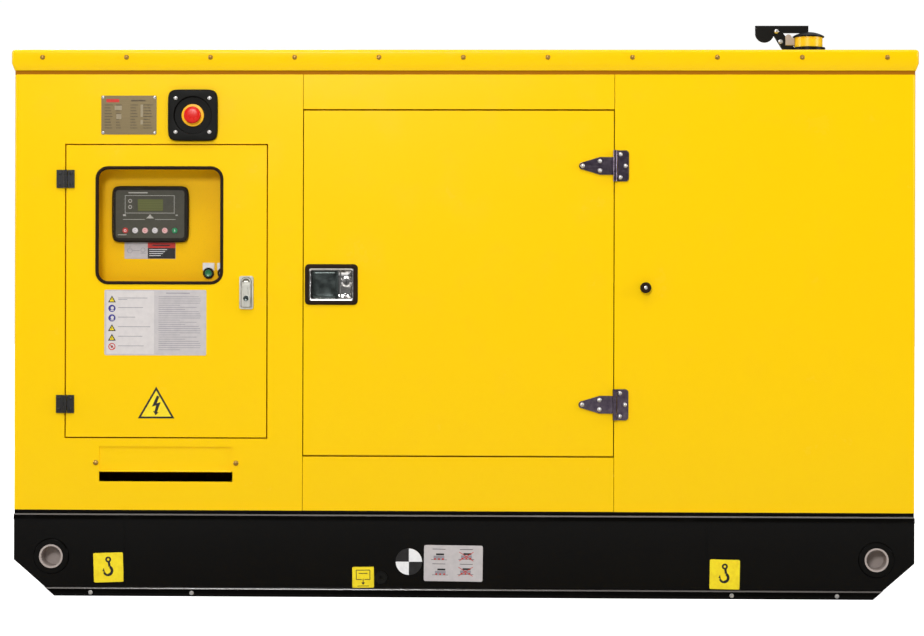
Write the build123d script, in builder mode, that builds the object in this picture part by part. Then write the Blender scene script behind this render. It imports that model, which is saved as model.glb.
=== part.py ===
from build123d import *
import math
import os

# Silent-canopy diesel generator set on a steel base tank.
# Frame: +X to the right of the control side, -Y towards the control side, +Z up.
# The origin is on the floor, under the centre of the base. Millimetres.

# ---- overall ----
LENGTH = 2500.0
WIDTH = 1000.0
BASE_HEIGHT = 240.0
ROOF_TOP = 1520.0
SHEET = 3.0
BEND = 12.0
CLEAR = 0.3

# ---- base ----
BASE_PLATE = 6.0
RIM = 6.0
TOP_RIM_HEIGHT = 28.0
BOTTOM_RIM_HEIGHT = 25.0
END_SLOPE_LENGTH = 115.0
END_SLOPE_HEIGHT = 100.0
LIFT_HOLE_IN = 105.0
LIFT_HOLE_Z = 110.0
LIFT_HOLE_RADIUS = 28.0
LIFT_SOCKET_WALL = 5.0
LIFT_SOCKET_DEPTH = 60.0
LIFT_RING_RADIUS = 47.0
ANCHOR_IN_X = 215.0
ANCHOR_IN_Y = 60.0
ANCHOR_RADIUS = 9.0
TANK_LEFT = -500.0
TANK_RIGHT = 300.0
TANK_TOP = 200.0
TANK_WALL = 3.0
TANK_SIDE_GAP = 20.0
DRAIN_X = -225.0
DRAIN_Z = 55.0
DRAIN_RADIUS = 17.0
DRAIN_KEY = 10.2
FILLER_X = -385.0
FILLER_IN_Y = 110.0
FILLER_RADIUS = 28.0
FILLER_RISE = 34.0
CAP_RADIUS = 38.0
CAP_HEIGHT = 26.0
CAP_GRIP_WIDTH = 19.0
CAP_GRIP_EDGE = 2.0

# ---- canopy ----
ROOF_OVERHANG = 8.0
ROOF_SKIRT = 38.0
ROOF_LIP = 20.0
ROOF_LIP_CLEAR = 1.0
NECK_SETBACK = 8.0
SHADOW_GAP = 11.0
LEFT_SEAM_FROM_CONTROL = 100.0
RIGHT_SHELL_LENGTH = 830.0
RETURN_FLANGE = 30.0
FOOT_FLANGE = 40.0
ROOF_SCREW_COUNT = 11
ROOF_SCREW_END = 80.0
SCREW_HEAD_RADIUS = 7.0
SCREW_HEAD_HEIGHT = 5.0
LOUVRE_WIDTH = 700.0
LOUVRE_LOW = 420.0
LOUVRE_HIGH = 1300.0
LOUVRE_BLADES = 14
LOUVRE_DEPTH = 28.0
LOUVRE_SLANT = 0.8

# ---- service doors ----
DOOR_LOW = 390.0
DOOR_HIGH = 1355.0
DOOR_GAP = 3.0
DOOR_THICK = 27.0
REBATE = 30.0
HINGE_PIN_FROM_SEAM = 1.0
STRAP_PIN_OUT = 7.0
STRAP_PIN_RADIUS = 3.0
STRAP_KNUCKLE_RADIUS = 6.0
STRAP_PIN_CLEAR = 0.06
STRAP_HINGE_LOW = 537.0
STRAP_HINGE_HIGH = 1198.0
STRAP_LENGTH = 100.0
STRAP_STRAIGHT = 42.0
STRAP_HEIGHT = 49.0
STRAP_TIP_RADIUS = 10.0
STRAP_SCREW_RISE = 13.0
STRAP_THICK = 4.0
LEAF_WIDTH = 38.0
LEAF_HEIGHT = 86.0
LEAF_ROUND = 9.0
LEAF_SCREW_NEAR = 14.0
LEAF_SCREW_FAR = 28.0
LEAF_SCREW_RISE = 32.0
KNUCKLE_GAP = 0.4
KNUCKLE_PLATE_GAP = 1.0
KNUCKLE_TAB_SETOFF = 1.0
HINGE_SCREW_RADIUS = 6.0
BUMPER_FROM_SEAM = 86.0
BUMPER_Z = 861.0
BUMPER_RADIUS = 15.0
BUMPER_HEIGHT = 18.0
LATCH_FROM_SEAM = 80.0
LATCH_Z = 868.0
LATCH_WIDTH = 147.0
LATCH_HEIGHT = 113.0
LATCH_ROUND = 12.0
LATCH_BORDER = 16.0
LATCH_RIM = 5.0
LATCH_RIM_SLOPE = 25.0
LATCH_DEPTH = 20.0
PADDLE_WIDTH = 68.0
PADDLE_HEIGHT = 78.0
PADDLE_THICK = 4.0
PADDLE_FINGER_GAP = 9.0
PADDLE_PIN_RADIUS = 2.5
PADDLE_BARREL_WALL = 2.0
PADDLE_BARREL_ROOM = 1.5
LOCK_PROUD = 1.0

# ---- control door ----
CONTROL_FROM_END = 145.0
CONTROL_WIDTH = 560.0
CONTROL_LOW = 442.0
CONTROL_HIGH = 1255.0
WINDOW_FROM_LEFT = 82.0
WINDOW_WIDTH = 357.0
WINDOW_LOW = 867.0
WINDOW_HIGH = 1196.0
WINDOW_ROUND = 35.0
SEAL_LIP = 6.0
SEAL_GROOVE = 4.0
SEAL_HEIGHT = 3.0
BUTT_PIN_OUT = 6.0
BUTT_PIN_RADIUS = 2.5
BUTT_KNUCKLE_RADIUS = 5.5
BUTT_PIN_CLEAR = 0.06
BUTT_SIZE = 50.0
BUTT_THICK = 5.0
BUTT_PLATE_GAP = 0.5
BUTT_HIGH = 1160.0
BUTT_LOW = 534.0
HANDLE_FROM_RIGHT = 56.0
HANDLE_Z = 845.0
HANDLE_WIDTH = 39.0
HANDLE_HEIGHT = 92.0
HANDLE_PLATE = 6.0
SPINDLE_RADIUS = 9.0
SPINDLE_BUSH_WALL = 2.0
SPINDLE_DROP = 30.0
LEVER_WIDTH = 25.0
LEVER_THICK = 7.0
LEVER_LENGTH = 70.0
LEVER_EAR = 5.0
LEVER_NECK_DROP = 2.0
LEVER_SHOULDER_GAP = 1.6
FORK_WEB = 1.0
CAM_LENGTH = 36.0
CAM_THICK = 5.0

# ---- control cabinet ----
CABINET_DEPTH = 230.0
PANEL_BACK = 70.0
CONTROLLER_FROM_LEFT = 226.0
CONTROLLER_Z = 1065.0
CONTROLLER_WIDTH = 216.0
CONTROLLER_HEIGHT = 158.0
CONTROLLER_BULGE = 9.0
CONTROLLER_FRONT = 16.0
CONTROLLER_BODY_WIDTH = 184.0
CONTROLLER_BODY_HEIGHT = 137.0
CONTROLLER_BODY_DEPTH = 42.0
KEY_Z = 1019.0
KEY_COUNT = 6
KEY_PITCH = 27.8
KEY_RADIUS = 8.0
KEY_PROUD = 2.0
KEY_TRAVEL = 1.0
KEY_DEPTH = 6.0
START_FROM_LEFT = 389.0
SWITCH_FROM_LEFT = 430.0
CONTROL_ROW_Z = 900.0
BEZEL_RADIUS = 15.0
BEZEL_HEIGHT = 4.0
BUTTON_RADIUS = 11.0
BUTTON_PROUD = 3.0
BUTTON_BODY = 40.0
BUTTON_WALL = 1.0
ROTOR_PROUD = 1.0
LOCK_KEY_OUT = 16.0
LOCK_KEY_WIDTH = 16.0
LOCK_KEY_THICK = 2.0
BREAKER_FROM_LEFT = 200.0
BREAKER_Z = 640.0
BREAKER_WIDTH = 105.0
BREAKER_HEIGHT = 160.0
BREAKER_DEPTH = 86.0
BREAKER_PROUD = 8.0
TOGGLE_WIDTH = 24.0
TOGGLE_LENGTH = 20.0
TOGGLE_HUB_RADIUS = 12.0
TOGGLE_HUB_CLEAR = 1.0
TOGGLE_THICK = 10.0
TOGGLE_SHOULDER = 2.0
TOGGLE_SLOT_RISE = 6.0

# ---- outside of the control end ----
NAMEPLATE_FROM_LEFT = 98.0
NAMEPLATE_WIDTH = 154.0
NAMEPLATE_LOW = 1284.0
NAMEPLATE_HEIGHT = 108.0
NAMEPLATE_THICK = 1.0
ESTOP_FROM_LEFT = 354.0
ESTOP_Z = 1337.0
ESTOP_WIDTH = 138.0
ESTOP_HEIGHT = 143.0
ESTOP_ROUND = 34.0
ESTOP_THICK = 14.0
ESTOP_RECESS_RADIUS = 51.0
ESTOP_RECESS_DEPTH = 10.0
ESTOP_COLLAR_RADIUS = 31.0
ESTOP_COLLAR_HEIGHT = 3.0
ESTOP_HEAD_RADIUS = 20.0
ESTOP_HEAD_HEIGHT = 12.0
ESTOP_HEAD_GAP = 6.0
ESTOP_STEM_RADIUS = 10.0
ESTOP_STEM_LENGTH = 48.0
ESTOP_BUSH_WALL = 1.0
ESTOP_STEM_WALL = 2.0
OUTLET_FROM_LEFT = 94.0
OUTLET_WIDTH = 372.0
OUTLET_LOW = 319.0
OUTLET_HIGH = 416.0
SHUTTER_GAP_LOW = 346.0
SHUTTER_TOP = 433.0
SHUTTER_SIDE = 26.0
SHUTTER_LIP = 7.0
SHUTTER_LIP_CLEAR = 2.0
SHUTTER_SCREW_Z = 371.0
SHUTTER_SCREW_OUT = 9.5

# ---- exhaust ----
EXHAUST_FROM_END = 235.0
EXHAUST_RADIUS = 42.0
EXHAUST_WALL = 3.0
EXHAUST_TOP = 1612.0
EXHAUST_BEND_RADIUS = 63.0
EXHAUST_INLET_RADIUS = 29.4
CLAMP_LOW = 1566.0
CLAMP_HIGH = 1582.0
CLAMP_RADIUS = 50.0
CAP_PIN_BACK = 96.0
CAP_PIN_Z = 1630.0
CAP_PIN_RADIUS = 5.0
CAP_PIN_CLEAR = 0.06
CAP_ARM_THICK = 6.0
CAP_ARM_TOP = 1648.0
CAP_ARM_HEIGHT = 22.0
CAP_ARM_BACK = 158.0
CAP_LID_RADIUS = 47.0
CAP_LID_RISE = 16.0
CAP_WEIGHT_RADIUS = 28.0
CAP_LID_GAP = 1.0
CAP_LID_SHOULDER = 9.75
CAP_EAR_THICK = 5.0
CAP_EAR_HALF_TOP = 8.0
CAP_EAR_SIDE = 10.0
CAP_EAR_FOOT = 6.0
CAP_EAR_HEEL = 20.0
CAP_PIN_HEAD = 3.0
SILENCER_RADIUS = 110.0
SILENCER_FROM_STUB = 115.0
SILENCER_LENGTH = 470.0
SILENCER_Z = 1255.0
SILENCER_HANGER = 30.0

# ---- engine and alternator ----
CRANK_Z = 520.0
BLOCK_FROM_RADIATOR = 150.0
BLOCK_LENGTH = 530.0
BLOCK_HALF = 130.0
BLOCK_LOW = 400.0
BLOCK_TOP = 740.0
SUMP_HALF = 110.0
SUMP_LOW = 330.0
SUMP_SETBACK = 20.0
WEB_COUNT = 4
WEB_HALF = 8.0
WEB_PROUD = 12.0
WEB_SETDOWN = 20.0
FOOT_SPREAD = 230.0
FOOT_SIZE = 70.0
FOOT_PLATE = 14.0
FOOT_OVERLAP = 10.0
FOOT_ROD_RADIUS = 28.0
FAN_BOSS_LENGTH = 52.0
FAN_BOSS_OUT = 12.0
FAN_BOSS_WALL = 14.0
FAN_POST_HALF = 30.0
HEAD_HEIGHT = 70.0
COVER_HEIGHT = 60.0
HEAD_SETBACK = 10.0
HEAD_POST_GAP = 1.0
COVER_HALF = 85.0
COVER_SETBACK = 30.0
ALTERNATOR_RADIUS = 165.0
ALTERNATOR_LENGTH = 410.0
ALTERNATOR_END = 30.0
ALTERNATOR_BEARING = 10.0
TERMINAL_BOX_HALF = 99.0
TERMINAL_BOX_IN = 40.0
TERMINAL_BOX_LENGTH = 220.0
TERMINAL_BOX_TOP = 250.0
ALTERNATOR_FOOT_LENGTH = 60.0
ALTERNATOR_FOOT_INNER = 90.0
ALTERNATOR_FOOT_OUTER = 150.0
ALTERNATOR_FOOT_DROP = 100.0
ALTERNATOR_FRONT_FOOT = 60.0
ALTERNATOR_REAR_FOOT = 130.0
SHAFT_RADIUS = 25.0
SHAFT_CLEAR = 1.0
PULLEY_RADIUS = 75.0
PULLEY_WIDTH = 26.0
PULLEY_FROM_BLOCK = 20.0
FAN_Z = 790.0
FAN_RADIUS = 190.0
FAN_HUB_RADIUS = 50.0
FAN_BLADES = 7
FAN_HUB_WIDTH = 36.0
FAN_BLADE_WIDTH = 60.0
FAN_BLADE_THICK = 4.0
FAN_BLADE_PITCH = 35.0
FAN_BLADE_ROOT = 6.0
FAN_SHAFT_GRIP = 30.0
FAN_PULLEY_RADIUS = 50.0
FAN_SHAFT_RADIUS = 14.0
BELT_THICK = 8.0
BELT_CLEAR = 0.4
BELT_MARGIN = 3.0
RADIATOR_FROM_END = 560.0
RADIATOR_THICK = 70.0
RADIATOR_HALF = 300.0
RADIATOR_TOP = 1080.0
SHROUD_DEPTH = 50.0
SHROUD_CLEAR = 15.0
BATTERY_SIZE = (190.0, 240.0, 190.0)
BATTERY_FROM_END = 400.0
BATTERY_POLE_RADIUS = 9.0
BATTERY_POLE_HEIGHT = 16.0
BATTERY_Y = -330.0

# ---- derived places ----
FRONT = -WIDTH / 2
END = LENGTH / 2
ROOF_UNDER = ROOF_TOP - SHEET
LIP_LOW = ROOF_TOP - ROOF_SKIRT - ROOF_LIP
WALL_TOP = LIP_LOW - SHADOW_GAP
PANEL_FACE = FRONT + PANEL_BACK
DOOR_BACK = FRONT + DOOR_THICK
CONTROL_LEFT = -END + CONTROL_FROM_END
CONTROL_RIGHT = CONTROL_LEFT + CONTROL_WIDTH
SEAM_LEFT = CONTROL_RIGHT + LEFT_SEAM_FROM_CONTROL
SEAM_RIGHT = END - RIGHT_SHELL_LENGTH
LATCH_X = SEAM_LEFT + LATCH_FROM_SEAM
BUMPER_X = SEAM_RIGHT + BUMPER_FROM_SEAM
WINDOW_LEFT = CONTROL_LEFT + WINDOW_FROM_LEFT
WINDOW_RIGHT = WINDOW_LEFT + WINDOW_WIDTH
HANDLE_X = CONTROL_RIGHT - HANDLE_FROM_RIGHT
CONTROLLER_X = CONTROL_LEFT + CONTROLLER_FROM_LEFT
START_X = CONTROL_LEFT + START_FROM_LEFT
SWITCH_X = CONTROL_LEFT + SWITCH_FROM_LEFT
BREAKER_X = CONTROL_LEFT + BREAKER_FROM_LEFT
NAMEPLATE_LEFT = CONTROL_LEFT + NAMEPLATE_FROM_LEFT
ESTOP_X = CONTROL_LEFT + ESTOP_FROM_LEFT
OUTLET_LEFT = CONTROL_LEFT + OUTLET_FROM_LEFT
OUTLET_RIGHT = OUTLET_LEFT + OUTLET_WIDTH
EXHAUST_X = END - EXHAUST_FROM_END
SILENCER_RIGHT = EXHAUST_X - SILENCER_FROM_STUB
SILENCER_LEFT = SILENCER_RIGHT - SILENCER_LENGTH
RADIATOR_LEFT = END - RADIATOR_FROM_END
BLOCK_RIGHT = RADIATOR_LEFT - BLOCK_FROM_RADIATOR
BLOCK_LEFT = BLOCK_RIGHT - BLOCK_LENGTH
ALTERNATOR_LEFT = BLOCK_LEFT - ALTERNATOR_LENGTH
BATTERY_X = END - BATTERY_FROM_END
STRAP_PIN_X = SEAM_RIGHT + HINGE_PIN_FROM_SEAM
STRAP_PIN_Y = FRONT - STRAP_PIN_OUT
BUTT_PIN_X = CONTROL_LEFT - HINGE_PIN_FROM_SEAM
BUTT_PIN_Y = FRONT - BUTT_PIN_OUT
SPINDLE_Z = HANDLE_Z + SPINDLE_DROP
LIFT_X = END - LIFT_HOLE_IN
FAN_X = RADIATOR_LEFT - SHROUD_DEPTH


def save(piece, name):
    """Label a finished piece and write its STEP file."""
    piece.part.label = name
    export_step(piece.part, f"parts/{name}.step")


def block(low, high, mode=Mode.ADD):
    """Add, or cut, the box between two corners."""
    size = [b - a for a, b in zip(low, high)]
    with Locations(tuple(low)):
        Box(*size, align=(Align.MIN, Align.MIN, Align.MIN), mode=mode)


def facing_front(y):
    """The upright plane at y whose normal looks towards the control side."""
    return Plane(origin=(0, y, 0), x_dir=(1, 0, 0), z_dir=(0, -1, 0))


def rod_y(x, z, y_front, y_back, radius, mode=Mode.ADD):
    """Add, or cut, a cylinder along Y between two depths."""
    with BuildSketch(facing_front(y_front)) as disc:
        with Locations((x, z)):
            Circle(radius)
    extrude(disc.sketch, amount=y_front - y_back, mode=mode)


def rod_z(x, y, low, high, radius, mode=Mode.ADD):
    """Add, or cut, an upright cylinder."""
    with BuildSketch(Plane.XY.offset(low)) as disc:
        with Locations((x, y)):
            Circle(radius)
    extrude(disc.sketch, amount=high - low, mode=mode)


def rod_x(y, z, left, right, radius, mode=Mode.ADD):
    """Add, or cut, a cylinder along X."""
    with BuildSketch(Plane.YZ.offset(left)) as disc:
        with Locations((y, z)):
            Circle(radius)
    extrude(disc.sketch, amount=right - left, mode=mode)


def dome(x, z, y, radius, height):
    """Add a low round screw head that stands out of the plane at y towards the front."""
    ball = (radius * radius + height * height) / (2 * height)
    half_turn = math.asin(radius / ball) / 2
    middle_y = ball - height - ball * math.cos(half_turn)
    with BuildSketch(Plane(origin=(x, y, z), x_dir=(1, 0, 0), z_dir=(0, 0, 1))) as half:
        with BuildLine():
            Line((0, 0), (radius, 0))
            ThreePointArc((radius, 0), (ball * math.sin(half_turn), middle_y), (0, -height))
            Line((0, -height), (0, 0))
        make_face()
    revolve(half.sketch, axis=Axis((x, y, z), (0, -1, 0)))


def seated(piece_list):
    """Add finished pieces into the open part as one group."""
    for piece in piece_list:
        add(piece)


def rear_copy(piece):
    """The same piece on the other long side."""
    return mirror(piece, about=Plane.XZ, mode=Mode.PRIVATE)


os.makedirs("parts", exist_ok=True)

# ======================= base =======================

with BuildPart() as base_frame:
    # outer box with sloped ends, hollow inside
    with BuildSketch(facing_front(FRONT + RIM)):
        with BuildLine():
            Polyline(
                (-END, BASE_HEIGHT),
                (END, BASE_HEIGHT),
                (END, END_SLOPE_HEIGHT),
                (END - END_SLOPE_LENGTH, 0),
                (-END + END_SLOPE_LENGTH, 0),
                (-END, END_SLOPE_HEIGHT),
                close=True,
            )
        make_face()
    extrude(amount=-(WIDTH - 2 * RIM))
    with BuildSketch(facing_front(FRONT + RIM + BASE_PLATE)) as hollow:
        with BuildLine():
            Polyline(
                (-END, BASE_HEIGHT),
                (END, BASE_HEIGHT),
                (END, END_SLOPE_HEIGHT),
                (END - END_SLOPE_LENGTH, 0),
                (-END + END_SLOPE_LENGTH, 0),
                (-END, END_SLOPE_HEIGHT),
                close=True,
            )
        make_face()
        offset(amount=-BASE_PLATE, kind=Kind.INTERSECTION, mode=Mode.REPLACE)
    extrude(amount=-(WIDTH - 2 * RIM - 2 * BASE_PLATE), mode=Mode.SUBTRACT)
    # raised rims along the top and the foot of both long sides
    for rim_front in (FRONT, -FRONT - RIM):
        block((-END, rim_front, BASE_HEIGHT - TOP_RIM_HEIGHT), (END, rim_front + RIM, BASE_HEIGHT))
        foot_end = END - END_SLOPE_LENGTH * (1 - BOTTOM_RIM_HEIGHT / END_SLOPE_HEIGHT)
        with BuildSketch(facing_front(rim_front + RIM)):
            with BuildLine():
                Polyline(
                    (-END + END_SLOPE_LENGTH, 0),
                    (END - END_SLOPE_LENGTH, 0),
                    (foot_end, BOTTOM_RIM_HEIGHT),
                    (-foot_end, BOTTOM_RIM_HEIGHT),
                    close=True,
                )
            make_face()
        extrude(amount=RIM)
    # welded rings round the lifting holes
    for side_x in (-LIFT_X, LIFT_X):
        rod_y(side_x, LIFT_HOLE_Z, FRONT, FRONT + RIM, LIFT_RING_RADIUS)
        rod_y(side_x, LIFT_HOLE_Z, -FRONT - RIM, -FRONT, LIFT_RING_RADIUS)
        socket_radius = LIFT_HOLE_RADIUS + LIFT_SOCKET_WALL
        rod_y(side_x, LIFT_HOLE_Z, FRONT, -FRONT, socket_radius, mode=Mode.SUBTRACT)
        # anchor holes through the floor plate
        for side_y in (-1, 1):
            hole_y = side_y * (-FRONT - ANCHOR_IN_Y)
            hole_x = math.copysign(END - ANCHOR_IN_X, side_x)
            rod_z(hole_x, hole_y, 0, BASE_PLATE, ANCHOR_RADIUS, mode=Mode.SUBTRACT)
    # tank drain hole and filler hole
    rod_y(DRAIN_X, DRAIN_Z, FRONT, FRONT + RIM + BASE_PLATE, DRAIN_RADIUS, mode=Mode.SUBTRACT)
    filler_low = BASE_HEIGHT - BASE_PLATE
    filler_y = FRONT + FILLER_IN_Y
    rod_z(FILLER_X, filler_y, filler_low, BASE_HEIGHT, FILLER_RADIUS + CLEAR, mode=Mode.SUBTRACT)
save(base_frame, "base_frame")

with BuildPart() as lifting_sockets:
    for side_x in (-LIFT_X, LIFT_X):
        for mouth, end in ((FRONT, FRONT + LIFT_SOCKET_DEPTH), (-FRONT, -FRONT - LIFT_SOCKET_DEPTH)):
            floor = end - math.copysign(LIFT_SOCKET_WALL, end - mouth)
            front_end, back_end = sorted((mouth, end))
            front_hole, back_hole = sorted((mouth, floor))
            socket_radius = LIFT_HOLE_RADIUS + LIFT_SOCKET_WALL
            rod_y(side_x, LIFT_HOLE_Z, front_end, back_end, socket_radius)
            rod_y(side_x, LIFT_HOLE_Z, front_hole, back_hole, LIFT_HOLE_RADIUS, mode=Mode.SUBTRACT)
save(lifting_sockets, "lifting_sockets")

with BuildPart() as fuel_tank:
    tank_front = FRONT + RIM + BASE_PLATE + TANK_SIDE_GAP
    block((TANK_LEFT, tank_front, BASE_PLATE), (TANK_RIGHT, -tank_front, TANK_TOP))
    block(
        (TANK_LEFT + TANK_WALL, tank_front + TANK_WALL, BASE_PLATE + TANK_WALL),
        (TANK_RIGHT - TANK_WALL, -tank_front - TANK_WALL, TANK_TOP - TANK_WALL),
        mode=Mode.SUBTRACT,
    )
    # filler neck up through the deck and drain boss out to the side plate
    neck_top = BASE_HEIGHT + FILLER_RISE
    rod_z(FILLER_X, filler_y, TANK_TOP - TANK_WALL, neck_top, FILLER_RADIUS)
    neck_bore = FILLER_RADIUS - TANK_WALL
    rod_z(FILLER_X, filler_y, TANK_TOP - TANK_WALL, neck_top, neck_bore, mode=Mode.SUBTRACT)
    rod_y(DRAIN_X, DRAIN_Z, FRONT + RIM + BASE_PLATE, tank_front + TANK_WALL, DRAIN_RADIUS)
save(fuel_tank, "fuel_tank")

with BuildPart() as tank_drain_plug:
    rod_y(DRAIN_X, DRAIN_Z, FRONT, FRONT + RIM + BASE_PLATE, DRAIN_RADIUS)
    with BuildSketch(facing_front(FRONT)):
        with Locations((DRAIN_X, DRAIN_Z)):
            Rectangle(DRAIN_KEY, DRAIN_KEY)
    extrude(amount=-RIM, mode=Mode.SUBTRACT)
save(tank_drain_plug, "tank_drain_plug")

with BuildPart() as fuel_cap:
    cap_low = BASE_HEIGHT + FILLER_RISE + CLEAR
    rod_z(FILLER_X, filler_y, cap_low, cap_low + CAP_HEIGHT, CAP_RADIUS)
    with BuildSketch(Plane.XY.offset(cap_low + CAP_HEIGHT)):
        with Locations((FILLER_X, filler_y)):
            SlotOverall(2 * (CAP_RADIUS - CAP_GRIP_EDGE), CAP_GRIP_WIDTH)
    extrude(amount=CAP_HEIGHT / 2)
save(fuel_cap, "fuel_cap")

# ======================= canopy =======================


def wrap_wall(end_x, seam_x, inset, low, high):
    """U-shaped sheet wall: round the end of the set, open at the seam."""
    far = end_x - math.copysign(inset, end_x)
    side_y = WIDTH / 2 - inset
    inside = Side.LEFT if end_x > 0 else Side.RIGHT
    with BuildSketch(Plane.XY.offset(low)) as wall:
        with BuildLine():
            corners = [(seam_x, -side_y), (far, -side_y), (far, side_y), (seam_x, side_y)]
            FilletPolyline(*corners, radius=BEND)
            offset(amount=SHEET, side=inside)
        make_face()
    extrude(wall.sketch, amount=high - low)


def end_shell(end_x, seam_x):
    """Wall, set-back neck under the roof, foot flange and seam flanges of one end."""
    wrap_wall(end_x, seam_x, 0, BASE_HEIGHT, WALL_TOP)
    wrap_wall(end_x, seam_x, NECK_SETBACK, WALL_TOP - SHEET, ROOF_UNDER)
    wrap_wall(end_x, seam_x, SHEET, WALL_TOP - SHEET, WALL_TOP)
    wrap_wall(end_x, seam_x, SHEET + SHEET, WALL_TOP - SHEET, WALL_TOP)
    inward = math.copysign(1, end_x)
    seam_a, seam_b = sorted((seam_x, seam_x + inward * SHEET))
    for side in (-1, 1):
        y_outer = side * (-FRONT - SHEET)
        y_inner = side * (-FRONT - SHEET - RETURN_FLANGE)
        y_low, y_high = sorted((y_outer, y_inner))
        block((seam_a, y_low, BASE_HEIGHT), (seam_b, y_high, WALL_TOP))
        foot_inner = side * (-FRONT - FOOT_FLANGE)
        y_low, y_high = sorted((y_outer, foot_inner))
        x_low, x_high = sorted((seam_x, end_x - inward * SHEET))
        block((x_low, y_low, BASE_HEIGHT), (x_high, y_high, BASE_HEIGHT + SHEET))


with BuildPart() as left_end_shell:
    end_shell(-END, SEAM_LEFT)
    # control door opening
    block(
        (CONTROL_LEFT - DOOR_GAP, FRONT - CLEAR, CONTROL_LOW - DOOR_GAP),
        (CONTROL_RIGHT + DOOR_GAP, FRONT + SHEET, CONTROL_HIGH + DOOR_GAP),
        mode=Mode.SUBTRACT,
    )
    # cable outlet and its two clamp screw holes
    block(
        (OUTLET_LEFT, FRONT - CLEAR, OUTLET_LOW),
        (OUTLET_RIGHT, FRONT + SHEET, OUTLET_HIGH),
        mode=Mode.SUBTRACT,
    )
    # emergency stop hole
    bush_radius = ESTOP_STEM_RADIUS + ESTOP_BUSH_WALL
    rod_y(ESTOP_X, ESTOP_Z, FRONT, FRONT + SHEET, bush_radius, mode=Mode.SUBTRACT)
    # air inlet in the end wall
    block(
        (-END - CLEAR, -LOUVRE_WIDTH / 2, LOUVRE_LOW),
        (-END + SHEET, LOUVRE_WIDTH / 2, LOUVRE_HIGH),
        mode=Mode.SUBTRACT,
    )
    # clamp screws of the shutter, with their domed heads outside
    for screw_x in (OUTLET_LEFT - SHUTTER_SCREW_OUT, OUTLET_RIGHT + SHUTTER_SCREW_OUT):
        dome(screw_x, SHUTTER_SCREW_Z, FRONT, SCREW_HEAD_RADIUS, SCREW_HEAD_HEIGHT)
save(left_end_shell, "left_end_shell")

with BuildPart() as right_end_shell:
    end_shell(END, SEAM_RIGHT)
    block(
        (END - SHEET, -LOUVRE_WIDTH / 2, LOUVRE_LOW),
        (END + CLEAR, LOUVRE_WIDTH / 2, LOUVRE_HIGH),
        mode=Mode.SUBTRACT,
    )
save(right_end_shell, "right_end_shell")


def louvre(end_x):
    """Frame of slanted blades that fills one end opening from inside."""
    inward = -math.copysign(1, end_x)
    x_face = end_x + inward * SHEET
    x_inner = x_face + inward * LOUVRE_DEPTH
    x_low, x_high = sorted((x_face, x_inner))
    border = 2 * REBATE
    half = LOUVRE_WIDTH / 2
    frame_half = half + border / 2
    block((x_low, -frame_half, LOUVRE_LOW - REBATE), (x_high, frame_half, LOUVRE_HIGH + REBATE))
    block(
        (x_low, -half + SHEET, LOUVRE_LOW + SHEET),
        (x_high, half - SHEET, LOUVRE_HIGH - SHEET),
        mode=Mode.SUBTRACT,
    )
    pitch = (LOUVRE_HIGH - LOUVRE_LOW) / LOUVRE_BLADES
    drop = pitch * LOUVRE_SLANT
    for blade in range(LOUVRE_BLADES):
        top = LOUVRE_HIGH - blade * pitch
        low_top = top - drop
        with BuildSketch(Plane.XZ.offset(half - SHEET)) as blade_end:
            with BuildLine():
                Polyline(
                    (x_inner, top),
                    (x_inner, top - SHEET),
                    (x_face, low_top - SHEET),
                    (x_face, low_top),
                    close=True,
                )
            make_face()
        extrude(blade_end.sketch, amount=-2 * (half - SHEET))


with BuildPart() as inlet_louvre:
    louvre(-END)
save(inlet_louvre, "inlet_louvre")

with BuildPart() as outlet_louvre:
    louvre(END)
save(outlet_louvre, "outlet_louvre")

with BuildPart() as front_door_frame:
    # sill and header in line with the end shells, with a set-back neck under the roof
    block((SEAM_LEFT, FRONT, BASE_HEIGHT), (SEAM_RIGHT, FRONT + SHEET, DOOR_LOW))
    block((SEAM_LEFT, FRONT, DOOR_HIGH), (SEAM_RIGHT, FRONT + SHEET, WALL_TOP))
    neck_front = FRONT + NECK_SETBACK
    block((SEAM_LEFT, FRONT, WALL_TOP - SHEET), (SEAM_RIGHT, neck_front + SHEET, WALL_TOP))
    block((SEAM_LEFT, neck_front, WALL_TOP), (SEAM_RIGHT, neck_front + SHEET, ROOF_UNDER))
    # rebate ring that the closed door rests in front of
    ring_front = DOOR_BACK + SHEET
    block((SEAM_LEFT + SHEET, ring_front, BASE_HEIGHT), (SEAM_RIGHT - SHEET, ring_front + SHEET, ROOF_UNDER))
    block(
        (SEAM_LEFT + REBATE, ring_front, DOOR_LOW + REBATE),
        (SEAM_RIGHT - REBATE, ring_front + SHEET, DOOR_HIGH - REBATE),
        mode=Mode.SUBTRACT,
    )
    # folds that join the faces to the ring
    block((SEAM_LEFT, FRONT, DOOR_LOW - SHEET), (SEAM_RIGHT, ring_front, DOOR_LOW))
    block((SEAM_LEFT, FRONT, DOOR_HIGH), (SEAM_RIGHT, ring_front, DOOR_HIGH + SHEET))
    for fold_left in (SEAM_LEFT + SHEET, SEAM_RIGHT - 2 * SHEET):
        fold_back = FRONT + 2 * REBATE
        block((fold_left, ring_front, BASE_HEIGHT), (fold_left + SHEET, fold_back, ROOF_UNDER))
    # seam flanges of the end shells stand between the faces and the ring
    for seam_left in (SEAM_LEFT - SHEET, SEAM_RIGHT):
        block(
            (seam_left, FRONT + SHEET, BASE_HEIGHT),
            (seam_left + SHEET, FRONT + SHEET + RETURN_FLANGE, WALL_TOP),
            mode=Mode.SUBTRACT,
        )
save(front_door_frame, "front_door_frame")

with BuildPart() as rear_door_frame:
    seated([rear_copy(front_door_frame.part)])
save(rear_door_frame, "rear_door_frame")

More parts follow.
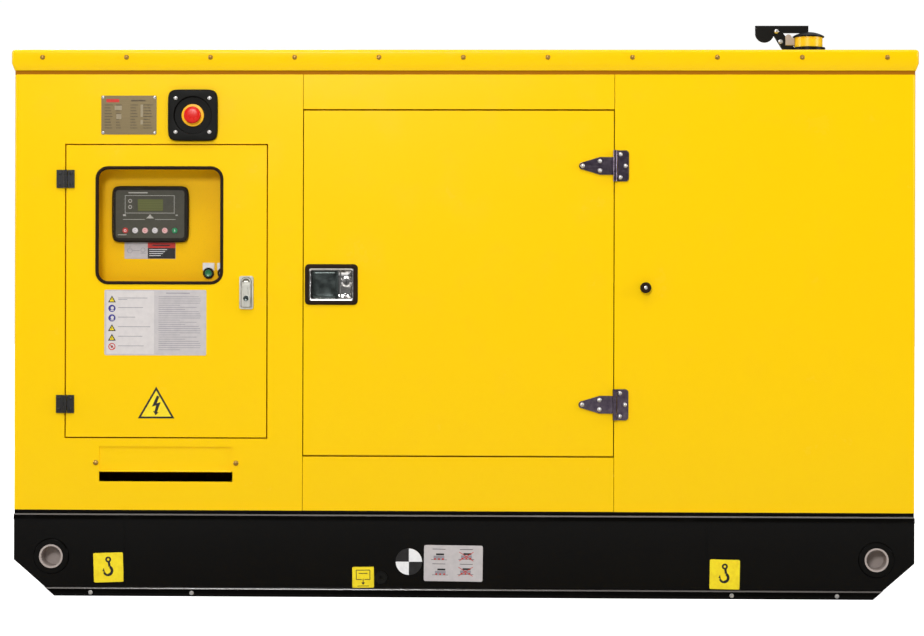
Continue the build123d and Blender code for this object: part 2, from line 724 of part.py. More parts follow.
with BuildPart() as roof_panel:
    cap_length = LENGTH + 2 * ROOF_OVERHANG
    cap_width = WIDTH + 2 * ROOF_OVERHANG
    with BuildSketch(Plane.XY.offset(ROOF_TOP - ROOF_SKIRT)):
        RectangleRounded(cap_length, cap_width, BEND)
    extrude(amount=ROOF_SKIRT)
    fillet(faces().sort_by(Axis.Z)[-1].edges(), radius=BEND - SHEET)
    with BuildSketch(Plane.XY.offset(ROOF_TOP - ROOF_SKIRT)):
        RectangleRounded(cap_length - 2 * SHEET, cap_width - 2 * SHEET, BEND - SHEET)
    extrude(amount=ROOF_SKIRT - SHEET, mode=Mode.SUBTRACT)
    # slanted lip back towards the walls
    for shrink, mode in ((0, Mode.ADD), (SHEET, Mode.SUBTRACT)):
        lip_top = Plane.XY.offset(ROOF_TOP - ROOF_SKIRT)
        lip_end = Plane.XY.offset(LIP_LOW)
        lean = ROOF_OVERHANG - ROOF_LIP_CLEAR
        with BuildSketch(lip_top):
            RectangleRounded(cap_length - 2 * shrink, cap_width - 2 * shrink, BEND - shrink)
        with BuildSketch(lip_end):
            RectangleRounded(
                cap_length - 2 * shrink - 2 * lean,
                cap_width - 2 * shrink - 2 * lean,
                BEND - shrink,
            )
        loft(mode=mode)
    # exhaust hole
    rod_z(EXHAUST_X, 0, ROOF_UNDER, ROOF_TOP, EXHAUST_RADIUS + CLEAR, mode=Mode.SUBTRACT)
save(roof_panel, "roof_panel")

with BuildPart() as roof_screws:
    screw_run = LENGTH - 2 * ROOF_SCREW_END
    screw_pitch = screw_run / (ROOF_SCREW_COUNT - 1)
    screw_z = ROOF_TOP - ROOF_SKIRT / 2 - SHEET
    skirt_face = FRONT - ROOF_OVERHANG
    for index in range(ROOF_SCREW_COUNT):
        screw_x = -screw_run / 2 + index * screw_pitch
        dome(screw_x, screw_z, skirt_face, SCREW_HEAD_RADIUS, SCREW_HEAD_HEIGHT)
    add(rear_copy(roof_screws.part))
save(roof_screws, "roof_screws")

# ======================= service doors =======================

with BuildPart() as front_service_door:
    door_left = SEAM_LEFT + DOOR_GAP / 2
    door_right = SEAM_RIGHT - DOOR_GAP / 2
    door_bottom = DOOR_LOW + DOOR_GAP
    door_top = DOOR_HIGH - DOOR_GAP
    block((door_left, FRONT, door_bottom), (door_right, DOOR_BACK, door_top))
    block(
        (door_left + SHEET, FRONT + SHEET, door_bottom + SHEET),
        (door_right - SHEET, DOOR_BACK, door_top - SHEET),
        mode=Mode.SUBTRACT,
    )
    # latch cut-out
    with BuildSketch(facing_front(FRONT)):
        with Locations((LATCH_X, LATCH_Z)):
            RectangleRounded(
                LATCH_WIDTH - LATCH_BORDER + 2 * CLEAR,
                LATCH_HEIGHT - LATCH_BORDER + 2 * CLEAR,
                LATCH_ROUND / 2,
            )
    extrude(amount=-SHEET, mode=Mode.SUBTRACT)
save(front_service_door, "front_service_door")

with BuildPart() as rear_service_door:
    seated([rear_copy(front_service_door.part)])
save(rear_service_door, "rear_service_door")

TRAY_WIDTH = LATCH_WIDTH - LATCH_BORDER
TRAY_HEIGHT = LATCH_HEIGHT - LATCH_BORDER
TRAY_LEFT = LATCH_X - TRAY_WIDTH / 2 + SHEET
PADDLE_LEFT = TRAY_LEFT + PADDLE_FINGER_GAP
PADDLE_RIGHT = PADDLE_LEFT + PADDLE_WIDTH
PADDLE_PIN_Y = FRONT + PADDLE_THICK / 2
PADDLE_BARREL = PADDLE_THICK / 2 + PADDLE_BARREL_ROOM

with BuildPart() as front_latch_tray:
    with BuildSketch(facing_front(FRONT)):
        with Locations((LATCH_X, LATCH_Z)):
            RectangleRounded(LATCH_WIDTH, LATCH_HEIGHT, LATCH_ROUND)
    extrude(amount=LATCH_RIM, taper=LATCH_RIM_SLOPE)
    with BuildSketch(facing_front(FRONT)):
        with Locations((LATCH_X, LATCH_Z)):
            RectangleRounded(TRAY_WIDTH, TRAY_HEIGHT, LATCH_ROUND / 2)
    extrude(amount=-LATCH_DEPTH)
    with BuildSketch(facing_front(FRONT - LATCH_RIM)):
        with Locations((LATCH_X, LATCH_Z)):
            RectangleRounded(TRAY_WIDTH - 2 * SHEET, TRAY_HEIGHT - 2 * SHEET, LATCH_ROUND / 2)
    extrude(amount=-(LATCH_RIM + LATCH_DEPTH - SHEET), mode=Mode.SUBTRACT)
    # key cylinder housing beside the paddle
    tray_right = LATCH_X + TRAY_WIDTH / 2
    housing_left = PADDLE_RIGHT + 2 * PADDLE_BARREL
    block(
        (housing_left, FRONT + PADDLE_THICK, LATCH_Z - TRAY_HEIGHT / 2 + SHEET),
        (tray_right, FRONT + LATCH_DEPTH, LATCH_Z + TRAY_HEIGHT / 2 - SHEET),
    )
    lock_x = (housing_left + tray_right) / 2
    rod_y(lock_x, LATCH_Z + BUTTON_RADIUS, FRONT - LOCK_PROUD, FRONT + LATCH_DEPTH, BUTTON_RADIUS)
    # upright hinge pin of the paddle, held in the top and bottom walls of the tray
    pin_low = LATCH_Z - TRAY_HEIGHT / 2 + SHEET
    pin_high = LATCH_Z + TRAY_HEIGHT / 2 - SHEET
    rod_z(PADDLE_RIGHT, PADDLE_PIN_Y, pin_low, pin_high, PADDLE_PIN_RADIUS)
save(front_latch_tray, "front_latch_tray")

with BuildPart() as front_latch_paddle:
    paddle_low = LATCH_Z - PADDLE_HEIGHT / 2
    paddle_high = LATCH_Z + PADDLE_HEIGHT / 2
    with BuildSketch(facing_front(FRONT + PADDLE_THICK)):
        with BuildLine():
            Polyline(
                (PADDLE_LEFT, paddle_low),
                (PADDLE_RIGHT, paddle_low),
                (PADDLE_RIGHT, paddle_high),
                (PADDLE_LEFT, paddle_high),
                close=True,
            )
        make_face()
        fillet(vertices().group_by(Axis.X)[0], radius=LATCH_ROUND / 2)
    extrude(amount=PADDLE_THICK)
    barrel_radius = PADDLE_PIN_RADIUS + PADDLE_BARREL_WALL
    rod_z(PADDLE_RIGHT, PADDLE_PIN_Y, paddle_low, paddle_high, barrel_radius)
    bore = PADDLE_PIN_RADIUS + STRAP_PIN_CLEAR
    rod_z(PADDLE_RIGHT, PADDLE_PIN_Y, paddle_low, paddle_high, bore, mode=Mode.SUBTRACT)
save(front_latch_paddle, "front_latch_paddle")

with BuildPart() as rear_latch_tray:
    seated([rear_copy(front_latch_tray.part)])
save(rear_latch_tray, "rear_latch_tray")

with BuildPart() as rear_latch_paddle:
    seated([rear_copy(front_latch_paddle.part)])
save(rear_latch_paddle, "rear_latch_paddle")

KNUCKLE_HALF = STRAP_HEIGHT / 2
PLATE_GAP = STRAP_KNUCKLE_RADIUS + KNUCKLE_PLATE_GAP

with BuildPart() as front_strap_leaves:
    for hinge_z in (STRAP_HINGE_LOW, STRAP_HINGE_HIGH):
        tip_x = STRAP_PIN_X - STRAP_LENGTH + STRAP_TIP_RADIUS
        shoulder_x = STRAP_PIN_X - STRAP_STRAIGHT
        with BuildSketch(facing_front(FRONT)):
            with BuildLine():
                Polyline(
                    (STRAP_PIN_X, hinge_z - KNUCKLE_HALF),
                    (STRAP_PIN_X, hinge_z + KNUCKLE_HALF),
                    (shoulder_x, hinge_z + KNUCKLE_HALF),
                    (tip_x, hinge_z + STRAP_TIP_RADIUS),
                    (tip_x, hinge_z - STRAP_TIP_RADIUS),
                    (shoulder_x, hinge_z - KNUCKLE_HALF),
                    close=True,
                )
            make_face()
            with Locations((tip_x, hinge_z)):
                Circle(STRAP_TIP_RADIUS)
        extrude(amount=STRAP_THICK)
        knuckle_low = hinge_z - KNUCKLE_HALF
        knuckle_high = hinge_z + KNUCKLE_HALF
        rod_z(STRAP_PIN_X, STRAP_PIN_Y, knuckle_low, knuckle_high, STRAP_KNUCKLE_RADIUS)
        bore = STRAP_PIN_RADIUS + STRAP_PIN_CLEAR
        rod_z(STRAP_PIN_X, STRAP_PIN_Y, knuckle_low, knuckle_high, bore, mode=Mode.SUBTRACT)
        for dx, dz in (
            (-STRAP_LENGTH + STRAP_TIP_RADIUS, 0),
            (-STRAP_STRAIGHT, -STRAP_SCREW_RISE),
            (-STRAP_STRAIGHT, STRAP_SCREW_RISE),
        ):
            screw_y = FRONT - STRAP_THICK
            dome(STRAP_PIN_X + dx, hinge_z + dz, screw_y, HINGE_SCREW_RADIUS, STRAP_THICK)
save(front_strap_leaves, "front_strap_leaves")

with BuildPart() as rear_strap_leaves:
    seated([rear_copy(front_strap_leaves.part)])
save(rear_strap_leaves, "rear_strap_leaves")

with BuildPart() as front_hinge_bases:
    for hinge_z in (STRAP_HINGE_LOW, STRAP_HINGE_HIGH):
        leaf_left = STRAP_PIN_X + PLATE_GAP
        leaf_right = STRAP_PIN_X + LEAF_WIDTH
        leaf_low = hinge_z - LEAF_HEIGHT / 2
        leaf_high = hinge_z + LEAF_HEIGHT / 2
        with BuildSketch(facing_front(FRONT)):
            with BuildLine():
                Polyline(
                    (leaf_left, leaf_low),
                    (leaf_right, leaf_low),
                    (leaf_right, leaf_high),
                    (leaf_left, leaf_high),
                    close=True,
                )
            make_face()
            fillet(vertices().group_by(Axis.X)[-1], radius=LEAF_ROUND)
        extrude(amount=STRAP_THICK)
        end_low = KNUCKLE_HALF + KNUCKLE_GAP
        for low, high in ((leaf_low, hinge_z - end_low), (hinge_z + end_low, leaf_high)):
            rod_z(STRAP_PIN_X, STRAP_PIN_Y, low, high, STRAP_KNUCKLE_RADIUS)
            tab_back = FRONT - KNUCKLE_TAB_SETOFF
            block((STRAP_PIN_X, FRONT - STRAP_THICK, low), (leaf_left, tab_back, high))
        rod_z(STRAP_PIN_X, STRAP_PIN_Y, leaf_low, leaf_high, STRAP_PIN_RADIUS)
        for dx, dz in (
            (LEAF_SCREW_NEAR, -LEAF_SCREW_RISE),
            (LEAF_SCREW_NEAR, LEAF_SCREW_RISE),
            (LEAF_SCREW_FAR, 0),
        ):
            screw_y = FRONT - STRAP_THICK
            dome(STRAP_PIN_X + dx, hinge_z + dz, screw_y, HINGE_SCREW_RADIUS, STRAP_THICK)
save(front_hinge_bases, "front_hinge_bases")

with BuildPart() as rear_hinge_bases:
    seated([rear_copy(front_hinge_bases.part)])
save(rear_hinge_bases, "rear_hinge_bases")

with BuildPart() as door_bumpers:
    rod_y(BUMPER_X, BUMPER_Z, FRONT - BUMPER_HEIGHT, FRONT, BUMPER_RADIUS)
    fillet(edges().group_by(Axis.Y)[0], radius=SHEET)
    add(rear_copy(door_bumpers.part))
save(door_bumpers, "door_bumpers")

# ======================= control door =======================


def window_outline(inset):
    """Rounded window rectangle, drawn smaller by the inset."""
    centre_x = (WINDOW_LEFT + WINDOW_RIGHT) / 2
    centre_z = (WINDOW_LOW + WINDOW_HIGH) / 2
    with Locations((centre_x, centre_z)):
        RectangleRounded(
            WINDOW_RIGHT - WINDOW_LEFT - 2 * inset,
            WINDOW_HIGH - WINDOW_LOW - 2 * inset,
            WINDOW_ROUND - inset,
        )


with BuildPart() as control_door:
    block((CONTROL_LEFT, FRONT, CONTROL_LOW), (CONTROL_RIGHT, DOOR_BACK, CONTROL_HIGH))
    block(
        (CONTROL_LEFT + SHEET, FRONT + SHEET, CONTROL_LOW + SHEET),
        (CONTROL_RIGHT - SHEET, DOOR_BACK, CONTROL_HIGH - SHEET),
        mode=Mode.SUBTRACT,
    )
    with BuildSketch(facing_front(FRONT)):
        window_outline(SEAL_LIP)
    extrude(amount=-SHEET, mode=Mode.SUBTRACT)
    rod_y(HANDLE_X, SPINDLE_Z, FRONT, FRONT + SHEET, SPINDLE_RADIUS + CLEAR, mode=Mode.SUBTRACT)
save(control_door, "control_door")

SEAL_INNER = 2 * SEAL_LIP

with BuildPart() as window_seal:
    # outer lip on the door face, web in the cut-out and the groove that holds the pane
    for step, inset, hole_inset, depth in (
        (FRONT, 0, SEAL_INNER, SEAL_HEIGHT),
        (FRONT + SHEET, SEAL_LIP, SEAL_INNER - SEAL_GROOVE, SHEET),
        (FRONT + SHEET + SEAL_HEIGHT, 0, SEAL_INNER, SEAL_HEIGHT),
    ):
        with BuildSketch(facing_front(step)):
            window_outline(inset)
        extrude(amount=depth)
        with BuildSketch(facing_front(step)):
            window_outline(hole_inset)
        extrude(amount=depth, mode=Mode.SUBTRACT)
save(window_seal, "window_seal")

with BuildPart() as window_pane:
    with BuildSketch(facing_front(FRONT + SHEET)):
        window_outline(SEAL_INNER - SEAL_GROOVE)
    extrude(amount=SHEET)
save(window_pane, "window_pane")


def butt_hinge(side, own_heights):
    """One leaf of both butt hinges; side is -1 left of the pin, 1 right of it."""
    third = BUTT_SIZE / 3
    for hinge_z in (BUTT_LOW, BUTT_HIGH):
        near = BUTT_PIN_X + side * (BUTT_KNUCKLE_RADIUS + BUTT_PLATE_GAP)
        far = BUTT_PIN_X + side * BUTT_SIZE / 2
        left, right = sorted((near, far))
        low = hinge_z - BUTT_SIZE / 2
        block((left, FRONT - BUTT_THICK, low), (right, FRONT, low + BUTT_SIZE))
        for slot in own_heights:
            trim = KNUCKLE_GAP / 2
            slot_low = low + slot * third + trim
            slot_high = low + (slot + 1) * third - trim
            rod_z(BUTT_PIN_X, BUTT_PIN_Y, slot_low, slot_high, BUTT_KNUCKLE_RADIUS)
            left, right = sorted((BUTT_PIN_X, near))
            block((left, FRONT - BUTT_THICK, slot_low), (right, FRONT - BUTT_PLATE_GAP, slot_high))


with BuildPart() as control_hinge_leaves:
    butt_hinge(1, (1,))
    for hinge_z in (BUTT_LOW, BUTT_HIGH):
        bore = BUTT_PIN_RADIUS + BUTT_PIN_CLEAR
        half = BUTT_SIZE / 2
        rod_z(BUTT_PIN_X, BUTT_PIN_Y, hinge_z - half, hinge_z + half, bore, mode=Mode.SUBTRACT)
save(control_hinge_leaves, "control_hinge_leaves")

with BuildPart() as control_hinge_bases:
    butt_hinge(-1, (0, 2))
    for hinge_z in (BUTT_LOW, BUTT_HIGH):
        half = BUTT_SIZE / 2
        rod_z(BUTT_PIN_X, BUTT_PIN_Y, hinge_z - half, hinge_z + half, BUTT_PIN_RADIUS)
save(control_hinge_bases, "control_hinge_bases")

with BuildPart() as handle_plate:
    with BuildSketch(facing_front(FRONT)):
        with Locations((HANDLE_X, HANDLE_Z)):
            RectangleRounded(HANDLE_WIDTH, HANDLE_HEIGHT, HANDLE_PLATE)
    extrude(amount=HANDLE_PLATE)
    plate_back = FRONT + DOOR_THICK - CAM_THICK
    rod_y(HANDLE_X, SPINDLE_Z, FRONT, plate_back, SPINDLE_RADIUS)
    bore = SPINDLE_RADIUS - SPINDLE_BUSH_WALL
    rod_y(HANDLE_X, SPINDLE_Z, FRONT - HANDLE_PLATE, plate_back, bore, mode=Mode.SUBTRACT)
save(handle_plate, "handle_plate")

SPINDLE_SHAFT = SPINDLE_RADIUS - SPINDLE_BUSH_WALL - STRAP_PIN_CLEAR
LEVER_Y = FRONT - HANDLE_PLATE - CLEAR
EAR_PIN_Y = LEVER_Y - LEVER_THICK / 2

with BuildPart() as handle_spindle:
    # shaft through the door, cam behind it, fork for the lever in front of it
    cam_front = FRONT + DOOR_THICK - CAM_THICK + CLEAR
    rod_y(HANDLE_X, SPINDLE_Z, LEVER_Y, cam_front, SPINDLE_SHAFT)
    block(
        (HANDLE_X - SPINDLE_RADIUS, cam_front, SPINDLE_Z - SPINDLE_RADIUS),
        (HANDLE_X + CAM_LENGTH, cam_front + CAM_THICK, SPINDLE_Z + SPINDLE_RADIUS),
    )
    fork_half = LEVER_WIDTH / 2
    fork_top = SPINDLE_Z + LEVER_EAR
    fork_low = SPINDLE_Z - LEVER_EAR
    block(
        (HANDLE_X - fork_half, LEVER_Y - LEVER_THICK, fork_low),
        (HANDLE_X + fork_half, LEVER_Y, fork_top),
    )
    ear_gap = fork_half - LEVER_EAR
    block(
        (HANDLE_X - ear_gap, LEVER_Y - LEVER_THICK, fork_low),
        (HANDLE_X + ear_gap, LEVER_Y - FORK_WEB, fork_top),
        mode=Mode.SUBTRACT,
    )
    rod_x(EAR_PIN_Y, SPINDLE_Z, HANDLE_X - fork_half, HANDLE_X + fork_half, BUTT_PIN_RADIUS / 2)
save(handle_spindle, "handle_spindle")

with BuildPart() as handle_lever:
    lever_round = LEVER_THICK / 2 - FORK_WEB - CLEAR / 2
    tongue = fork_half - LEVER_EAR - CLEAR
    rod_x(EAR_PIN_Y, SPINDLE_Z, HANDLE_X - tongue, HANDLE_X + tongue, lever_round)
    neck_low = fork_low - LEVER_NECK_DROP
    block(
        (HANDLE_X - tongue, EAR_PIN_Y - lever_round, neck_low),
        (HANDLE_X + tongue, EAR_PIN_Y + lever_round, SPINDLE_Z),
    )
    with BuildSketch(facing_front(LEVER_Y)):
        with BuildLine():
            Polyline(
                (HANDLE_X - fork_half, fork_low - LEVER_SHOULDER_GAP),
                (HANDLE_X + fork_half, fork_low - LEVER_SHOULDER_GAP),
                (HANDLE_X + fork_half, SPINDLE_Z - LEVER_LENGTH),
                (HANDLE_X - fork_half, SPINDLE_Z - LEVER_LENGTH),
                close=True,
            )
        make_face()
        fillet(vertices().group_by(Axis.Y)[0], radius=LEVER_EAR)
    extrude(amount=LEVER_THICK)
    bore = BUTT_PIN_RADIUS / 2 + STRAP_PIN_CLEAR
    rod_x(EAR_PIN_Y, SPINDLE_Z, HANDLE_X - fork_half, HANDLE_X + fork_half, bore, mode=Mode.SUBTRACT)
save(handle_lever, "handle_lever")

# ======================= outside of the control end =======================

with BuildPart() as nameplate:
    block(
        (NAMEPLATE_LEFT, FRONT - NAMEPLATE_THICK, NAMEPLATE_LOW),
        (NAMEPLATE_LEFT + NAMEPLATE_WIDTH, FRONT, NAMEPLATE_LOW + NAMEPLATE_HEIGHT),
    )
save(nameplate, "nameplate")

with BuildPart() as estop_shroud:
    with BuildSketch(facing_front(FRONT)):
        with Locations((ESTOP_X, ESTOP_Z)):
            RectangleRounded(ESTOP_WIDTH, ESTOP_HEIGHT, ESTOP_ROUND)
    extrude(amount=ESTOP_THICK)
    fillet(faces().sort_by(Axis.Y)[0].edges(), radius=SHEET)
    recess_front = FRONT - ESTOP_THICK
    recess_back = recess_front + ESTOP_RECESS_DEPTH
    rod_y(ESTOP_X, ESTOP_Z, recess_front, recess_back, ESTOP_RECESS_RADIUS, mode=Mode.SUBTRACT)
    # collar round the button, its bush through the wall and the contact block behind
    rod_y(ESTOP_X, ESTOP_Z, recess_back - ESTOP_COLLAR_HEIGHT, recess_back, ESTOP_COLLAR_RADIUS)
    bush_back = FRONT + SHEET + ESTOP_STEM_LENGTH
    rod_y(ESTOP_X, ESTOP_Z, FRONT, FRONT + SHEET, ESTOP_STEM_RADIUS + ESTOP_BUSH_WALL)
    rod_y(ESTOP_X, ESTOP_Z, FRONT + SHEET, bush_back, BEZEL_RADIUS)
    stem_bore = ESTOP_STEM_RADIUS + CLEAR - ESTOP_STEM_WALL
    rod_y(ESTOP_X, ESTOP_Z, recess_front, bush_back - SHEET, stem_bore, mode=Mode.SUBTRACT)
save(estop_shroud, "estop_shroud")

with BuildPart() as estop_button:
    collar_face = recess_back - ESTOP_COLLAR_HEIGHT
    head_back = collar_face - ESTOP_HEAD_GAP
    rod_y(ESTOP_X, ESTOP_Z, head_back - ESTOP_HEAD_HEIGHT, head_back, ESTOP_HEAD_RADIUS)
    fillet(edges().group_by(Axis.Y)[0], radius=ESTOP_HEAD_HEIGHT / 3)
    stem_back = head_back + ESTOP_HEAD_GAP + ESTOP_STEM_LENGTH / 2
    rod_y(ESTOP_X, ESTOP_Z, head_back, stem_back, ESTOP_STEM_RADIUS - ESTOP_STEM_WALL)
save(estop_button, "estop_button")

with BuildPart() as cable_shutter:
    plate_front = FRONT + SHEET + CLEAR
    block(
        (OUTLET_LEFT - SHUTTER_SIDE, plate_front, SHUTTER_GAP_LOW),
        (OUTLET_RIGHT + SHUTTER_SIDE, plate_front + SHEET, SHUTTER_TOP),
    )
    block(
        (OUTLET_LEFT + SHUTTER_LIP_CLEAR, plate_front - SHUTTER_LIP, SHUTTER_GAP_LOW),
        (OUTLET_RIGHT - SHUTTER_LIP_CLEAR, plate_front, SHUTTER_GAP_LOW + SHEET),
    )
save(cable_shutter, "cable_shutter")

# ======================= control cabinet =======================

with BuildPart() as control_cabinet:
    inner_left = CONTROL_LEFT - DOOR_GAP
    inner_right = CONTROL_RIGHT + DOOR_GAP
    inner_low = CONTROL_LOW - DOOR_GAP
    inner_high = CONTROL_HIGH + DOOR_GAP
    cabinet_back = PANEL_FACE + CABINET_DEPTH
    block(
        (inner_left - SHEET, FRONT + SHEET, inner_low - SHEET),
        (inner_right + SHEET, cabinet_back, inner_high + SHEET),
    )
    block(
        (inner_left, FRONT + SHEET, inner_low),
        (inner_right, PANEL_FACE, inner_high),
        mode=Mode.SUBTRACT,
    )
    block(
        (inner_left, PANEL_FACE + SHEET, inner_low),
        (inner_right, cabinet_back - SHEET, inner_high),
        mode=Mode.SUBTRACT,
    )
    # panel cut-outs: controller body, start button, key switch and breaker
    for cut_x, cut_z, cut_width, cut_height in (
        (CONTROLLER_X, CONTROLLER_Z, CONTROLLER_BODY_WIDTH, CONTROLLER_BODY_HEIGHT),
        (BREAKER_X, BREAKER_Z, BREAKER_WIDTH, BREAKER_HEIGHT),
    ):
        block(
            (cut_x - cut_width / 2, PANEL_FACE, cut_z - cut_height / 2),
            (cut_x + cut_width / 2, PANEL_FACE + SHEET, cut_z + cut_height / 2),
            mode=Mode.SUBTRACT,
        )
    for cut_x in (START_X, SWITCH_X):
        cut_back = PANEL_FACE + SHEET
        cut_radius = BUTTON_RADIUS + BUTTON_WALL
        rod_y(cut_x, CONTROL_ROW_Z, PANEL_FACE, cut_back, cut_radius, mode=Mode.SUBTRACT)
save(control_cabinet, "control_cabinet")

KEY_OFFSETS = [(index - (KEY_COUNT - 1) / 2) * KEY_PITCH for index in range(KEY_COUNT)]
CONTROLLER_FACE = PANEL_FACE - CONTROLLER_FRONT

with BuildPart() as controller:
    half_width = CONTROLLER_WIDTH / 2
    edge = CONTROLLER_HEIGHT / 2 - CONTROLLER_BULGE
    crown = CONTROLLER_HEIGHT / 2
    with BuildSketch(facing_front(PANEL_FACE)):
        with BuildLine():
            left_x = CONTROLLER_X - half_width
            right_x = CONTROLLER_X + half_width
            Line((left_x, CONTROLLER_Z - edge), (left_x, CONTROLLER_Z + edge))
            ThreePointArc(
                (left_x, CONTROLLER_Z + edge),
                (CONTROLLER_X, CONTROLLER_Z + crown),
                (right_x, CONTROLLER_Z + edge),
            )
            Line((right_x, CONTROLLER_Z + edge), (right_x, CONTROLLER_Z - edge))
            ThreePointArc(
                (right_x, CONTROLLER_Z - edge),
                (CONTROLLER_X, CONTROLLER_Z - crown),
                (left_x, CONTROLLER_Z - edge),
            )
        make_face()
    extrude(amount=CONTROLLER_FRONT)
    fillet(faces().sort_by(Axis.Y)[0].edges(), radius=SHEET)
    body_half_width = CONTROLLER_BODY_WIDTH / 2 - CLEAR
    body_half_height = CONTROLLER_BODY_HEIGHT / 2 - CLEAR
    block(
        (CONTROLLER_X - body_half_width, PANEL_FACE, CONTROLLER_Z - body_half_height),
        (
            CONTROLLER_X + body_half_width,
            PANEL_FACE + CONTROLLER_BODY_DEPTH,
            CONTROLLER_Z + body_half_height,
        ),
    )
    for key_offset in KEY_OFFSETS:
        well_back = CONTROLLER_FACE + KEY_DEPTH + KEY_TRAVEL
        well_x = CONTROLLER_X + key_offset
        rod_y(well_x, KEY_Z, CONTROLLER_FACE, well_back, KEY_RADIUS + CLEAR, mode=Mode.SUBTRACT)
save(controller, "controller")

KEY_NAMES = ("stop_key", "manual_key", "auto_key", "test_key", "mute_key", "start_key")
for key_name, key_offset in zip(KEY_NAMES, KEY_OFFSETS):
    with BuildPart() as key:
        key_front = CONTROLLER_FACE - KEY_PROUD
        key_back = CONTROLLER_FACE + KEY_DEPTH - CLEAR
        rod_y(CONTROLLER_X + key_offset, KEY_Z, key_front, key_back, KEY_RADIUS)
        fillet(edges().group_by(Axis.Y)[0], radius=KEY_PROUD / 2)
    save(key, key_name)

with BuildPart() as panel_bezels:
    for bezel_x in (START_X, SWITCH_X):
        rod_y(bezel_x, CONTROL_ROW_Z, PANEL_FACE - BEZEL_HEIGHT, PANEL_FACE, BEZEL_RADIUS)
        body_radius = BUTTON_RADIUS + BUTTON_WALL
        rod_y(bezel_x, CONTROL_ROW_Z, PANEL_FACE, PANEL_FACE + BUTTON_BODY, body_radius)
        bore_back = PANEL_FACE + BUTTON_BODY - SHEET
        bore = BUTTON_RADIUS - BUTTON_WALL
        bezel_face = PANEL_FACE - BEZEL_HEIGHT
        rod_y(bezel_x, CONTROL_ROW_Z, bezel_face, bore_back, bore, mode=Mode.SUBTRACT)
save(panel_bezels, "panel_bezels")

with BuildPart() as start_button:
    button_front = PANEL_FACE - BEZEL_HEIGHT - BUTTON_PROUD
    button_radius = BUTTON_RADIUS - BUTTON_WALL - CLEAR
    rod_y(START_X, CONTROL_ROW_Z, button_front, PANEL_FACE + BUTTON_BODY / 2, button_radius)
save(start_button, "start_button")

with BuildPart() as key_switch:
    rotor = BUTTON_RADIUS - BUTTON_WALL - CLEAR
    rotor_front = PANEL_FACE - BEZEL_HEIGHT - ROTOR_PROUD
    rod_y(SWITCH_X, CONTROL_ROW_Z, rotor_front, PANEL_FACE + BUTTON_BODY / 2, rotor)
    # key left in the lock
    block(
        (SWITCH_X - LOCK_KEY_THICK / 2, rotor_front - LOCK_KEY_OUT, CONTROL_ROW_Z - LOCK_KEY_WIDTH / 2),
        (SWITCH_X + LOCK_KEY_THICK / 2, rotor_front, CONTROL_ROW_Z + LOCK_KEY_WIDTH / 2),
    )
save(key_switch, "key_switch")

with BuildPart() as main_breaker:
    half_width = BREAKER_WIDTH / 2 - CLEAR
    half_height = BREAKER_HEIGHT / 2 - CLEAR
    breaker_face = PANEL_FACE - BREAKER_PROUD
    breaker_back = breaker_face + BREAKER_DEPTH
    block(
        (BREAKER_X - half_width, breaker_face, BREAKER_Z - half_height),
        (BREAKER_X + half_width, breaker_back, BREAKER_Z + half_height),
    )
    # foot that screws to the back of the cabinet
    block(
        (BREAKER_X - half_width / 2, breaker_back, BREAKER_Z - half_height / 2),
        (BREAKER_X + half_width / 2, cabinet_back - SHEET, BREAKER_Z + half_height / 2),
    )
    # slot of the toggle with the toggle's hub bore at its bottom
    slot_half = TOGGLE_WIDTH / 2 + CLEAR
    slot_rise = TOGGLE_HUB_RADIUS + TOGGLE_SLOT_RISE
    slot_back = breaker_face + 2 * (TOGGLE_HUB_RADIUS + TOGGLE_HUB_CLEAR)
    block(
        (BREAKER_X - slot_half, breaker_face, BREAKER_Z - slot_rise),
        (BREAKER_X + slot_half, slot_back, BREAKER_Z + slot_rise),
        mode=Mode.SUBTRACT,
    )
    pin_y = breaker_face + TOGGLE_HUB_RADIUS
    rod_x(pin_y, BREAKER_Z, BREAKER_X - slot_half, BREAKER_X + slot_half, BUTT_PIN_RADIUS)
save(main_breaker, "main_breaker")

with BuildPart() as breaker_toggle:
    toggle_half = TOGGLE_WIDTH / 2
    hub_radius = TOGGLE_HUB_RADIUS - TOGGLE_HUB_CLEAR
    rod_x(pin_y, BREAKER_Z, BREAKER_X - toggle_half, BREAKER_X + toggle_half, hub_radius)
    with BuildSketch(Plane.XY.offset(BREAKER_Z - TOGGLE_THICK / 2)):
        with Locations((BREAKER_X, breaker_face - TOGGLE_LENGTH / 2 + TOGGLE_HUB_RADIUS / 2)):
            Rectangle(TOGGLE_WIDTH - 2 * TOGGLE_SHOULDER, TOGGLE_LENGTH + TOGGLE_HUB_RADIUS)
    extrude(amount=TOGGLE_THICK)
    bore = BUTT_PIN_RADIUS + BUTT_PIN_CLEAR
    rod_x(pin_y, BREAKER_Z, BREAKER_X - toggle_half, BREAKER_X + toggle_half, bore, mode=Mode.SUBTRACT)
save(breaker_toggle, "breaker_toggle")

# ======================= exhaust =======================

